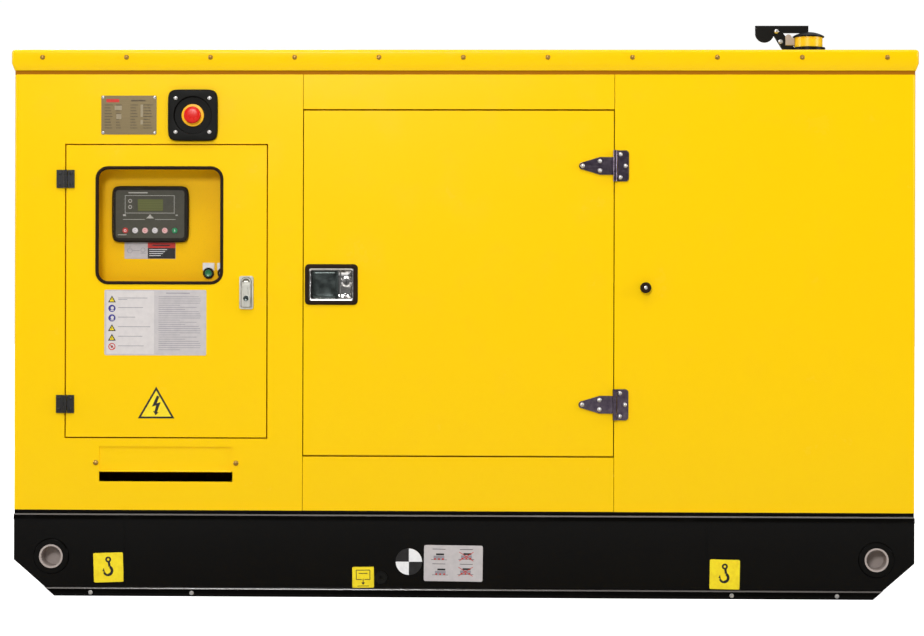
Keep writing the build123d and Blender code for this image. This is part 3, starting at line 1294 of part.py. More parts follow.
with BuildPart() as silencer:
    rod_x(0, SILENCER_Z, SILENCER_LEFT, SILENCER_RIGHT, SILENCER_RADIUS)
    fillet(edges().group_by(Axis.X)[0] + edges().group_by(Axis.X)[-1], radius=BEND)
    hollow_left = SILENCER_LEFT + BEND
    hollow_right = SILENCER_RIGHT - BEND
    hollow_radius = SILENCER_RADIUS - SHEET
    rod_x(0, SILENCER_Z, hollow_left, hollow_right, hollow_radius, mode=Mode.SUBTRACT)
    # outlet along X, then up through the roof
    with BuildLine() as tail_route:
        FilletPolyline(
            (SILENCER_RIGHT - BEND, 0, SILENCER_Z),
            (EXHAUST_X, 0, SILENCER_Z),
            (EXHAUST_X, 0, EXHAUST_TOP),
            radius=EXHAUST_BEND_RADIUS,
        )
    with BuildSketch(Plane.YZ.offset(SILENCER_RIGHT - BEND)) as tail_section:
        with Locations((0, SILENCER_Z)):
            Circle(EXHAUST_RADIUS)
    sweep(tail_section.sketch, path=tail_route.line)
    bore = EXHAUST_RADIUS - EXHAUST_WALL
    rod_z(EXHAUST_X, 0, ROOF_UNDER - SILENCER_RADIUS, EXHAUST_TOP, bore, mode=Mode.SUBTRACT)
    # inlet down to the manifold flange, and two hangers up to the roof
    inlet_x = BLOCK_RIGHT - FOOT_SIZE
    flange_z = BLOCK_TOP + HEAD_HEIGHT + COVER_HEIGHT
    rod_z(inlet_x, 0, flange_z, SILENCER_Z - hollow_radius, EXHAUST_INLET_RADIUS)
    rod_z(inlet_x, 0, flange_z, flange_z + BEND, EXHAUST_RADIUS)
    for hanger_x in (SILENCER_LEFT + 2 * FOOT_SIZE, SILENCER_RIGHT - 2 * FOOT_SIZE):
        block(
            (hanger_x, -SILENCER_HANGER, SILENCER_Z + hollow_radius),
            (hanger_x + SHEET, SILENCER_HANGER, ROOF_UNDER),
        )
save(silencer, "silencer")

with BuildPart() as rain_cap_clamp:
    # split band round the stub with an upright lug pair that carries the hinge pin
    rod_z(EXHAUST_X, 0, CLAMP_LOW, CLAMP_HIGH, CLAMP_RADIUS)
    for lug_front in (-CAP_ARM_THICK / 2 - CLEAR - CAP_EAR_THICK, CAP_ARM_THICK / 2 + CLEAR):
        with BuildSketch(facing_front(lug_front + CAP_EAR_THICK)):
            with BuildLine():
                Polyline(
                    (EXHAUST_X - EXHAUST_RADIUS, CLAMP_LOW),
                    (EXHAUST_X - EXHAUST_RADIUS, CLAMP_HIGH),
                    (EXHAUST_X - CAP_PIN_BACK + CAP_EAR_SIDE, CAP_PIN_Z + CAP_EAR_HALF_TOP),
                    (EXHAUST_X - CAP_PIN_BACK - CAP_EAR_FOOT, CAP_PIN_Z + CAP_EAR_HALF_TOP),
                    (EXHAUST_X - CAP_PIN_BACK - CAP_EAR_SIDE, CAP_PIN_Z - CAP_EAR_FOOT),
                    (EXHAUST_X - CLAMP_RADIUS - CAP_EAR_HEEL, CLAMP_LOW),
                    close=True,
                )
            make_face()
        extrude(amount=CAP_EAR_THICK)
    pin_half = CAP_ARM_THICK / 2 + CLEAR + CAP_EAR_THICK
    pin_end = pin_half + CAP_PIN_HEAD
    rod_y(EXHAUST_X - CAP_PIN_BACK, CAP_PIN_Z, -pin_end, pin_end, CAP_PIN_RADIUS)
    stub_bore = EXHAUST_RADIUS
    rod_z(EXHAUST_X, 0, CLAMP_LOW, CAP_PIN_Z + CAP_LID_RISE, stub_bore, mode=Mode.SUBTRACT)
save(rain_cap_clamp, "rain_cap_clamp")

with BuildPart() as rain_cap_lid:
    # domed lid just above the stub, arm over it and half-round counterweight behind the pin
    lid_low = EXHAUST_TOP + CAP_LID_GAP
    with BuildSketch(Plane(origin=(EXHAUST_X, 0, lid_low), x_dir=(1, 0, 0), z_dir=(0, -1, 0))):
        with BuildLine():
            Line((0, 0), (CAP_LID_RADIUS, 0))
            Line((CAP_LID_RADIUS, 0), (CAP_LID_RADIUS, SHEET))
            ThreePointArc(
                (CAP_LID_RADIUS, SHEET),
                (CAP_LID_RADIUS / 2, SHEET + CAP_LID_SHOULDER),
                (0, CAP_LID_RISE),
            )
            Line((0, CAP_LID_RISE), (0, 0))
        make_face()
    revolve(axis=Axis((EXHAUST_X, 0, 0), (0, 0, 1)))
    arm_low = CAP_ARM_TOP - CAP_ARM_HEIGHT
    weight_x = EXHAUST_X - CAP_ARM_BACK + CAP_WEIGHT_RADIUS
    block(
        (EXHAUST_X - CAP_ARM_BACK, -CAP_ARM_THICK / 2, arm_low),
        (EXHAUST_X, CAP_ARM_THICK / 2, CAP_ARM_TOP),
    )
    with BuildSketch(facing_front(CAP_ARM_THICK / 2)):
        with Locations((weight_x, arm_low)):
            Circle(CAP_WEIGHT_RADIUS)
            with Locations((0, CAP_WEIGHT_RADIUS)):
                Rectangle(4 * CAP_WEIGHT_RADIUS, 2 * CAP_WEIGHT_RADIUS, mode=Mode.SUBTRACT)
    extrude(amount=CAP_ARM_THICK)
    bore = CAP_PIN_RADIUS + CAP_PIN_CLEAR
    half = CAP_ARM_THICK / 2
    rod_y(EXHAUST_X - CAP_PIN_BACK, CAP_PIN_Z, -half, half, bore, mode=Mode.SUBTRACT)
save(rain_cap_lid, "rain_cap_lid")

# ======================= engine and alternator =======================

with BuildPart() as engine_block:
    block((BLOCK_LEFT, -BLOCK_HALF, BLOCK_LOW), (BLOCK_RIGHT, BLOCK_HALF, BLOCK_TOP))
    block(
        (BLOCK_LEFT + SUMP_SETBACK, -SUMP_HALF, SUMP_LOW),
        (BLOCK_RIGHT - SUMP_SETBACK, SUMP_HALF, BLOCK_LOW),
    )
    # cylinder webs along both sides
    web_pitch = (BLOCK_RIGHT - BLOCK_LEFT) / (WEB_COUNT + 1)
    for index in range(1, WEB_COUNT + 1):
        web_x = BLOCK_LEFT + index * web_pitch
        block(
            (web_x - WEB_HALF, -BLOCK_HALF - WEB_PROUD, CRANK_Z),
            (web_x + WEB_HALF, BLOCK_HALF + WEB_PROUD, BLOCK_TOP - WEB_SETDOWN),
        )
    # feet down to the deck
    for foot_x in (BLOCK_LEFT + FOOT_SIZE, BLOCK_RIGHT - FOOT_SIZE):
        for side in (-1, 1):
            foot_inner = BLOCK_HALF - FOOT_OVERLAP
            low_y, high_y = sorted((side * foot_inner, side * (FOOT_SPREAD + FOOT_SIZE / 2)))
            half_foot = FOOT_SIZE / 2
            block(
                (foot_x - half_foot, low_y, BLOCK_LOW),
                (foot_x + half_foot, high_y, BLOCK_LOW + FOOT_PLATE),
            )
            rod_z(foot_x, side * FOOT_SPREAD, BASE_HEIGHT, BLOCK_LOW, FOOT_ROD_RADIUS)
    # nose of the crankcase that the shaft leaves through
    bore = SHAFT_RADIUS + SHAFT_CLEAR
    rod_x(0, CRANK_Z, BLOCK_LEFT, BLOCK_RIGHT, bore, mode=Mode.SUBTRACT)
    # fan bearing boss
    boss_right = BLOCK_RIGHT + FAN_BOSS_OUT
    boss_left = boss_right - FAN_BOSS_LENGTH
    post_low = BLOCK_TOP + boss_left - BLOCK_RIGHT
    boss_bore = FAN_SHAFT_RADIUS + CLEAR
    rod_x(0, FAN_Z, boss_left, boss_right, FAN_SHAFT_RADIUS + FAN_BOSS_WALL)
    block((boss_left, -FAN_POST_HALF, post_low), (BLOCK_RIGHT, FAN_POST_HALF, FAN_Z))
    rod_x(0, FAN_Z, boss_left, boss_right, boss_bore, mode=Mode.SUBTRACT)
save(engine_block, "engine_block")

with BuildPart() as cylinder_head:
    head_right = boss_left - HEAD_POST_GAP
    block(
        (BLOCK_LEFT, -BLOCK_HALF + HEAD_SETBACK, BLOCK_TOP),
        (head_right, BLOCK_HALF - HEAD_SETBACK, BLOCK_TOP + HEAD_HEIGHT),
    )
    cover_top = BLOCK_TOP + HEAD_HEIGHT + COVER_HEIGHT
    block(
        (BLOCK_LEFT + COVER_SETBACK, -COVER_HALF, BLOCK_TOP + HEAD_HEIGHT),
        (head_right, COVER_HALF, cover_top),
    )
    fillet(faces().sort_by(Axis.Z)[-1].edges(), radius=BEND)
save(cylinder_head, "cylinder_head")

BELT_X = BLOCK_RIGHT + PULLEY_FROM_BLOCK

with BuildPart() as crank_assembly:
    # shaft through the engine and alternator with the belt pulley at the fan end
    shaft_left = ALTERNATOR_LEFT + ALTERNATOR_END + ALTERNATOR_BEARING
    rod_x(0, CRANK_Z, shaft_left, BELT_X + PULLEY_WIDTH, SHAFT_RADIUS)
    rod_x(0, CRANK_Z, BELT_X, BELT_X + PULLEY_WIDTH, PULLEY_RADIUS)
save(crank_assembly, "crank_assembly")

with BuildPart() as cooling_fan:
    rod_x(0, FAN_Z, BLOCK_RIGHT - FAN_SHAFT_GRIP, FAN_X, FAN_SHAFT_RADIUS)
    rod_x(0, FAN_Z, BELT_X, BELT_X + PULLEY_WIDTH, FAN_PULLEY_RADIUS)
    rod_x(0, FAN_Z, FAN_X - FAN_HUB_WIDTH, FAN_X, FAN_HUB_RADIUS)
    for blade in range(FAN_BLADES):
        turn = blade * 360 / FAN_BLADES
        hub_middle = FAN_X - FAN_HUB_WIDTH / 2
        hub = Plane(origin=(hub_middle, 0, FAN_Z), x_dir=(1, 0, 0), z_dir=(0, 0, 1))
        blade_plane = hub.rotated((turn, 0, 0)).offset(FAN_HUB_RADIUS - FAN_BLADE_ROOT)
        with BuildSketch(blade_plane):
            Rectangle(FAN_BLADE_THICK, FAN_BLADE_WIDTH, rotation=FAN_BLADE_PITCH)
        extrude(amount=FAN_RADIUS - FAN_HUB_RADIUS + FAN_BLADE_ROOT)
save(cooling_fan, "cooling_fan")

with BuildPart() as fan_belt:
    # taut loop round both pulleys
    gap = BELT_CLEAR
    lean = math.asin((PULLEY_RADIUS - FAN_PULLEY_RADIUS) / (FAN_Z - CRANK_Z))
    for grow, mode in ((gap + BELT_THICK, Mode.ADD), (gap, Mode.SUBTRACT)):
        big = PULLEY_RADIUS + grow
        small = FAN_PULLEY_RADIUS + grow
        with BuildSketch(Plane.YZ.offset(BELT_X + BELT_MARGIN)) as loop:
            with BuildLine():
                big_y = big * math.cos(lean)
                big_z = CRANK_Z + big * math.sin(lean)
                small_y = small * math.cos(lean)
                small_z = FAN_Z + small * math.sin(lean)
                ThreePointArc((big_y, big_z), (0, CRANK_Z - big), (-big_y, big_z))
                Line((-big_y, big_z), (-small_y, small_z))
                ThreePointArc((-small_y, small_z), (0, FAN_Z + small), (small_y, small_z))
                Line((small_y, small_z), (big_y, big_z))
            make_face()
        extrude(loop.sketch, amount=PULLEY_WIDTH - 2 * BELT_MARGIN, mode=mode)
save(fan_belt, "fan_belt")

with BuildPart() as radiator:
    radiator_right = RADIATOR_LEFT + RADIATOR_THICK
    block(
        (RADIATOR_LEFT, -RADIATOR_HALF, BASE_HEIGHT),
        (radiator_right, RADIATOR_HALF, RADIATOR_TOP),
    )
    # fan shroud
    shroud_radius = FAN_RADIUS + SHROUD_CLEAR
    rod_x(0, FAN_Z, RADIATOR_LEFT - SHROUD_DEPTH, RADIATOR_LEFT, shroud_radius + SHEET)
    rod_x(0, FAN_Z, RADIATOR_LEFT - SHROUD_DEPTH, RADIATOR_LEFT, shroud_radius, mode=Mode.SUBTRACT)
save(radiator, "radiator")

with BuildPart() as alternator:
    rod_x(0, CRANK_Z, ALTERNATOR_LEFT, BLOCK_LEFT, ALTERNATOR_RADIUS)
    fillet(edges().group_by(Axis.X)[0], radius=BEND)
    bore = SHAFT_RADIUS + SHAFT_CLEAR
    # terminal box on top and two feet down to the deck
    box_left = ALTERNATOR_LEFT + TERMINAL_BOX_IN
    block(
        (box_left, -TERMINAL_BOX_HALF, CRANK_Z + TERMINAL_BOX_HALF),
        (box_left + TERMINAL_BOX_LENGTH, TERMINAL_BOX_HALF, CRANK_Z + TERMINAL_BOX_TOP),
    )
    for foot_x in (ALTERNATOR_LEFT + ALTERNATOR_FRONT_FOOT, BLOCK_LEFT - ALTERNATOR_REAR_FOOT):
        for side in (-1, 1):
            low_y, high_y = sorted((side * ALTERNATOR_FOOT_INNER, side * ALTERNATOR_FOOT_OUTER))
            block(
                (foot_x, low_y, BASE_HEIGHT),
                (foot_x + ALTERNATOR_FOOT_LENGTH, high_y, CRANK_Z - ALTERNATOR_FOOT_DROP),
            )
    bore_left = ALTERNATOR_LEFT + ALTERNATOR_END
    rod_x(0, CRANK_Z, bore_left, BLOCK_LEFT, bore, mode=Mode.SUBTRACT)
save(alternator, "alternator")

with BuildPart() as battery:
    battery_length, battery_width, battery_height = BATTERY_SIZE
    battery_top = BASE_HEIGHT + battery_height
    block(
        (BATTERY_X, BATTERY_Y - battery_width / 2, BASE_HEIGHT),
        (BATTERY_X + battery_length, BATTERY_Y + battery_width / 2, battery_top),
    )
    fillet(edges().filter_by(Axis.Z), radius=BEND / 2)
    for pole in (-1, 1):
        pole_x = BATTERY_X + battery_length / 2
        pole_y = BATTERY_Y + pole * battery_width / 3
        pole_top = battery_top + BATTERY_POLE_HEIGHT
        rod_z(pole_x, pole_y, battery_top, pole_top, BATTERY_POLE_RADIUS)
save(battery, "battery")
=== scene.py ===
import math

import bmesh
import bpy
from mathutils import Matrix, Vector


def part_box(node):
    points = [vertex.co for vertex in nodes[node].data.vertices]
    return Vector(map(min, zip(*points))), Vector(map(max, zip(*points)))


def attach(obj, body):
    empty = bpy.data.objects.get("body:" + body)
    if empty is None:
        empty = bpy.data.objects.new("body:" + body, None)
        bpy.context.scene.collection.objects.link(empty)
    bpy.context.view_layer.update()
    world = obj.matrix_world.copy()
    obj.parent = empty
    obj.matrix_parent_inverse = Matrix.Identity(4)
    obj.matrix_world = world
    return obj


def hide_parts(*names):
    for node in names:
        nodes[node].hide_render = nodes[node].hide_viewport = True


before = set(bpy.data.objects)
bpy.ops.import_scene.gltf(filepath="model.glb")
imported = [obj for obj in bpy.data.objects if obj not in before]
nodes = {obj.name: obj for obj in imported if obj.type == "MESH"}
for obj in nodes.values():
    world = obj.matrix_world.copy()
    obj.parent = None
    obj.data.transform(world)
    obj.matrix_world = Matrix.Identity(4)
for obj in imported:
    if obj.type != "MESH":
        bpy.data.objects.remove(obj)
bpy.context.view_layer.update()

# --- Base frame ---
# The skid is a hollow box of 6 mm plate with sloped ends, welded up, with raised
# rims along its top and foot, and finished in gloss black powder coat. Its edges
# are eased as a plate shop leaves them. The sloped faces of the rims are painted
# light grey as a painted highlight.


class Value:
    """One socket of a finish; arithmetic on it adds Math nodes."""

    def __init__(self, finish, socket):
        self.finish = finish
        self.socket = socket

    def math(self, operation, first, second=0):
        return self.finish.node("Math", {"operation": operation}, {0: first, 1: second})

    def __add__(self, other):
        return self.math("ADD", self, other)

    def __radd__(self, other):
        return self.math("ADD", other, self)

    def __sub__(self, other):
        return self.math("SUBTRACT", self, other)

    def __rsub__(self, other):
        return self.math("SUBTRACT", other, self)

    def __mul__(self, other):
        return self.math("MULTIPLY", self, other)

    def __rmul__(self, other):
        return self.math("MULTIPLY", other, self)

    def __lt__(self, other):
        return self.math("LESS_THAN", self, other)


class Finish:
    """A surface finish built from nodes round one Principled shader."""

    def __init__(self, name, **fixed):
        self.material = bpy.data.materials.new(name)
        self.material.use_nodes = True
        self.tree = self.material.node_tree
        self.shader = self.tree.nodes["Principled BSDF"]
        for socket, value in fixed.items():
            self.shader.inputs[socket.replace("_", " ")].default_value = value

    def node(self, kind, settings=None, sockets=None, output=0):
        """Add a node, set it up, feed its sockets and return one output."""
        made = self.tree.nodes.new("ShaderNode" + kind)
        for key, value in (settings or {}).items():
            setattr(made, key, value)
        for key, value in (sockets or {}).items():
            self.feed(made.inputs[key], value)
        return Value(self, made.outputs[output])

    def feed(self, socket, value):
        if isinstance(value, Value):
            self.tree.links.new(value.socket, socket)
        else:
            socket.default_value = value

    def set(self, **sockets):
        """Feed the shader's own sockets."""
        for key, value in sockets.items():
            self.feed(self.shader.inputs[key.replace("_", " ")], value)

    def where(self):
        """Object coordinates."""
        return self.node("TexCoord", output=3)

    def along(self):
        """The three object coordinates in millimetres."""
        scaled = self.node("VectorMath", {"operation": "SCALE"}, {0: self.where(), "Scale": 1000})
        split = self.node("SeparateXYZ", None, {0: scaled})
        owner = split.socket.node
        return [Value(self, owner.outputs[axis]) for axis in range(3)]

    def noise(self, size, detail=2, rough=0.5, stretch=(1, 1, 1)):
        """Noise whose grains are about size millimetres across."""
        placed = self.node("Mapping", None, {"Vector": self.where(), "Scale": stretch})
        fed = {"Vector": placed, "Scale": 1000 / size, "Detail": detail, "Roughness": rough}
        return self.node("TexNoise", None, fed)

    def between(self, value, low, high):
        """Value stretched so that low becomes 0 and high becomes 1."""
        settings = {"clamp": True}
        return self.node("MapRange", settings, {0: value, 1: low, 2: high, 3: 0, 4: 1})

    def blend(self, amount, first, second):
        """Mix of two colours."""
        return self.node("Mix", {"data_type": "RGBA"}, {0: amount, 6: first, 7: second}, output=2)

    def relief(self, height, depth):
        """Normal of a height from 0 to 1 that stands depth millimetres."""
        return self.node("Bump", None, {"Strength": 1, "Distance": depth / 1000, "Height": height})


def powder_coat(name, fresh, worn, rough, gloss):
    """Stoved powder paint: orange peel, faint cloudiness and settled dust."""
    paint = Finish(name, Specular_IOR_Level=gloss, Coat_Roughness=0.08)
    cloud = paint.noise(420, 3)
    specks = paint.between(paint.noise(9, 5, 0.7), 0.62, 0.8)
    handling = paint.between(paint.noise(130, 6, 0.65), 0.52, 0.78)
    tone = paint.blend(cloud * 0.35 + handling * 0.35 + specks * 0.2, fresh, worn)
    paint.set(Base_Color=tone, Roughness=rough + handling * 0.1 + specks * 0.12)
    peel = paint.noise(3.2, 2, 0.4) * 0.8 + paint.noise(26, 1) * 0.6
    paint.set(Normal=paint.relief(peel, 0.035))
    return paint


BLACK_COAT = powder_coat(
    "gloss_black_coat", (0.0013, 0.0011, 0.0008, 1), (0.0035, 0.003, 0.0024, 1), 0.13, 0.11
)


def box_mm(*names):
    """Lowest and highest corner of some CAD parts together, in millimetres."""
    corners = [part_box(name) for name in names]
    low = Vector([min(pair[0][axis] for pair in corners) for axis in range(3)]) * 1000
    high = Vector([max(pair[1][axis] for pair in corners) for axis in range(3)]) * 1000
    return low, high


def welded_copy(name):
    """A CAD part's shape in millimetres, with its loose triangles joined up."""
    shape = bmesh.new()
    shape.from_mesh(nodes[name].data)
    bmesh.ops.scale(shape, vec=(1000, 1000, 1000), verts=shape.verts)
    bmesh.ops.remove_doubles(shape, verts=shape.verts, dist=0.004)
    flat = math.radians(0.4)
    bmesh.ops.dissolve_limit(shape, angle_limit=flat, verts=shape.verts, edges=shape.edges)
    return shape


def ease(shape, edges, width, segments=2):
    """Round some edges."""
    bmesh.ops.bevel(
        shape,
        geom=edges,
        offset=width,
        segments=segments,
        affect="EDGES",
        profile=0.5,
        material=-1,
        clamp_overlap=True,
    )


def sharp_edges(shape, turn=35):
    """The edges where two faces meet at more than turn degrees."""
    limit = math.radians(turn)
    folds = [edge for edge in shape.edges if len(edge.link_faces) == 2]
    return [edge for edge in folds if edge.calc_face_angle() > limit]


def finish_piece(name, shape, finishes, body, stands_for=()):
    """Turn a shape in millimetres into a piece that rides on a body."""
    bmesh.ops.scale(shape, vec=(0.001, 0.001, 0.001), verts=shape.verts)
    mesh = bpy.data.meshes.new(name)
    shape.to_mesh(mesh)
    shape.free()
    for finish in finishes if isinstance(finishes, (list, tuple)) else [finishes]:
        mesh.materials.append(finish.material)
    mesh.shade_smooth()
    mesh.set_sharp_from_angle(angle=math.radians(38))
    piece = bpy.data.objects.new(name, mesh)
    bpy.context.collection.objects.link(piece)
    weighted = piece.modifiers.new("weighted_normals", "WEIGHTED_NORMAL")
    weighted.keep_sharp = True
    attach(piece, body)
    if stands_for:
        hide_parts(*stands_for)


base = welded_copy("base_frame")
base_low, base_high = box_mm("base_frame")
RIM_CROWN = ((20, 0), (24, 2.2), (225.5, 0), (229.5, 2), (240, 2.2))
RIM_SLOPES = ((20, 24), (225.5, 229.5))
for rim_z, set_back in RIM_CROWN:
    whole = [*base.verts, *base.edges, *base.faces]
    bmesh.ops.bisect_plane(base, geom=whole, plane_co=(0, 0, rim_z), plane_no=(0, 0, 1), dist=0.001)
for vert in base.verts:
    back = [set_back for rim_z, set_back in RIM_CROWN if abs(vert.co.z - rim_z) < 0.05]
    if back and abs(vert.co.y) > base_high.y - 0.5:
        vert.co.y -= math.copysign(back[0], vert.co.y)
    if back and abs(vert.co.x) > base_high.x - 0.5:
        vert.co.x -= math.copysign(back[0], vert.co.x)
ease(base, sharp_edges(base), 1.4)
# The sloped outer faces of the rim crowns take a lighter grey: a painted highlight along the rims.
for face in base.faces:
    middle = face.calc_center_median()
    outside = max(abs(middle.x) / base_high.x, abs(middle.y) / base_high.y) > 0.994
    sloped = any(foot + 0.8 < middle.z < head - 0.4 for foot, head in RIM_SLOPES)
    face.material_index = 1 if outside and sloped else 0
RIM_HIGHLIGHT_PAINT = powder_coat(
    "painted_rim_highlight", (0.17, 0.155, 0.145, 1), (0.06, 0.055, 0.05, 1), 0.16, 0.5
)
coats = [BLACK_COAT, RIM_HIGHLIGHT_PAINT]
finish_piece("base_frame_plate", base, coats, "generator", ["base_frame"])

# --- Lifting sockets and the bolts of the foot ---
# Blind steel sockets in satin light grey are welded behind the ring of each lower
# corner, with a bead of weld round the ring. Small zinc hexagon bolts hold the
# floor plate along the foot rim.


def srgb(red, green, blue):
    """A colour given in the 0 to 255 of a colour chart."""
    linear = [(part / 255 + 0.055) / 1.055 for part in (red, green, blue)]
    parts = (red, green, blue)
    out = [part / 255 / 12.92 if part < 11 else base ** 2.4 for part, base in zip(parts, linear)]
    return (*out, 1)


def coat(finish, *names):
    """Give CAD parts that show as they are their finish."""
    for name in names:
        for place in nodes[name].material_slots:
            place.material = finish.material


def grained(name, grain, shades, rough, depth, cloud=None, **fixed):
    """A finish whose grain sets sheen and relief, and the shade if there is no cloud."""
    made = Finish(name, **fixed)
    fine = made.noise(*grain)
    made.set(
        Base_Color=made.blend(made.noise(*cloud) if cloud else fine, *shades),
        Roughness=rough[0] + fine * rough[1],
        Normal=made.relief(fine, depth),
    )
    return made


GREY_COAT = powder_coat("satin_grey_coat", srgb(176, 164, 158), srgb(158, 147, 141), 0.5, 0.3)
coat(GREY_COAT, "lifting_sockets")

ZINC_SHADES = ((0.5, 0.48, 0.46, 1), (0.72, 0.7, 0.68, 1))
ZINC = grained("zinc_plate", (2.4, 4, 0.6), ZINC_SHADES, (0.22, 0.2), 0.02, Metallic=1)


def add_turned(shape, centre, profile, axis=(0, -1, 0), steps=36):
    """Turn a profile of (radius, rise) pairs about an axis that starts at centre."""
    rise = Vector(axis).normalized()
    outward = rise.orthogonal().normalized()
    start = Vector(centre)
    verts = [shape.verts.new(start + outward * radius + rise * height) for radius, height in profile]
    edges = [shape.edges.new(pair) for pair in zip(verts, verts[1:])]
    bmesh.ops.spin(
        shape, geom=verts + edges, cent=start, axis=rise, angle=math.tau, steps=steps, use_merge=True
    )
    near = {vert for face in shape.faces for vert in face.verts}
    bmesh.ops.remove_doubles(shape, verts=list(near), dist=0.002)


def add_block(shape, low, high, round_by=0):
    """A block between two corners, with its edges rounded if a radius is given."""
    size = [top - bottom for bottom, top in zip(low, high)]
    middle = [(top + bottom) / 2 for bottom, top in zip(low, high)]
    place = Matrix.Translation(middle) @ Matrix.Diagonal((*size, 1))
    verts = bmesh.ops.create_cube(shape, size=1, matrix=place)["verts"]
    if round_by:
        ease(shape, list({edge for vert in verts for edge in vert.link_edges}), round_by)
    return verts


def add_bolt(shape, centre, across, height, axis=(0, -1, 0)):
    """A hexagon bolt head on its washer."""
    rise = Vector(axis)
    turn = rise.to_track_quat("Z", "Y").to_matrix().to_4x4()
    place = Matrix.Translation(Vector(centre) + rise * (height / 2)) @ turn
    head = bmesh.ops.create_cone(
        shape,
        cap_ends=True,
        segments=6,
        radius1=across * 0.577,
        radius2=across * 0.577,
        depth=height,
        matrix=place,
    )["verts"]
    ease(shape, list({edge for vert in head for edge in vert.link_edges}), height * 0.12, 1)
    washer = [(0, 0), (across * 0.75, 0), (across * 0.75, 0.9), (across * 0.5, 1.1), (0, 1.1)]
    add_turned(shape, centre, washer, axis, 24)


foot_bolts = bmesh.new()
for side in (-1, 1):
    for bolt_x in (-1034, -752, 746, 1036):
        add_bolt(foot_bolts, (bolt_x, side * base_high.y, 10), 8, 3.5, (0, side, 0))
finish_piece("foot_bolts", foot_bolts, ZINC, "generator")

socket_low, socket_high = box_mm("lifting_sockets")
weld_beads = bmesh.new()
lift_x = socket_high.x - 33
lift_z = (socket_low.z + socket_high.z) / 2
for side in (-1, 1):
    for end in (-1, 1):
        bead = [(46, 4.6), (48.2, 4.2), (49.6, 2.4), (50, 0), (46, 0), (46, 4.6)]
        middle = (end * lift_x, side * (base_high.y - 6), lift_z)
        add_turned(weld_beads, middle, bead, (0, side, 0), 72)
    for seam_x in (-941, 677):
        near, far = sorted((side * (base_high.y - 6.4), side * (base_high.y - 4.8)))
        add_block(weld_beads, (-side * seam_x - 2, near, 26), (-side * seam_x + 2, far, 211), 0.7)
bmesh.ops.recalc_face_normals(weld_beads, faces=weld_beads.faces)
finish_piece("lifting_ring_welds", weld_beads, BLACK_COAT, "generator")

# --- Fuel tank, its drain plug and its filler cap ---
# The tank is welded black steel inside the base. A socket-head plug closes its
# drain at the foot of the control side, and a ribbed plastic cap its filler.

coat(BLACK_COAT, "fuel_tank")

BLACK_PLASTIC = grained(
    "black_moulded_plastic",
    (0.9, 3, 0.6),
    (srgb(9, 9, 7), srgb(18, 17, 14)),
    (0.42, 0.16),
    0.03,
    cloud=(30, 3),
    Specular_IOR_Level=0.12,
)
coat(BLACK_PLASTIC, "tank_drain_plug", "fuel_cap")

# --- Labels of the base ---
# Vinyl labels: two lifting points, the tank drain, the handling card and the
# balance mark. Their prints are plain signs, drawn as thin layers of ink.


def vinyl(name, shade, darker, rough=0.38):
    """Printed vinyl film with a faint mottle and small creases."""
    film = Finish(name, Specular_IOR_Level=0.3)
    mottle = film.noise(14, 4, 0.6)
    film.set(Base_Color=film.blend(film.between(mottle, 0.35, 0.8), shade, darker))
    film.set(Roughness=rough + mottle * 0.12, Normal=film.relief(film.noise(40, 2), 0.12))
    return film


YELLOW_VINYL = vinyl("yellow_vinyl", srgb(250, 226, 32), srgb(235, 205, 24))
GREY_VINYL = vinyl("grey_vinyl", srgb(196, 190, 190), srgb(184, 179, 180))
WHITE_VINYL = vinyl("white_vinyl", srgb(240, 240, 240), srgb(222, 222, 224))
BLACK_INK = vinyl("black_ink", srgb(24, 23, 24), srgb(38, 36, 36))
GREY_INK = vinyl("grey_ink", srgb(150, 146, 152), srgb(136, 132, 140))
RED_INK = vinyl("red_ink", srgb(205, 46, 34), srgb(180, 36, 28))


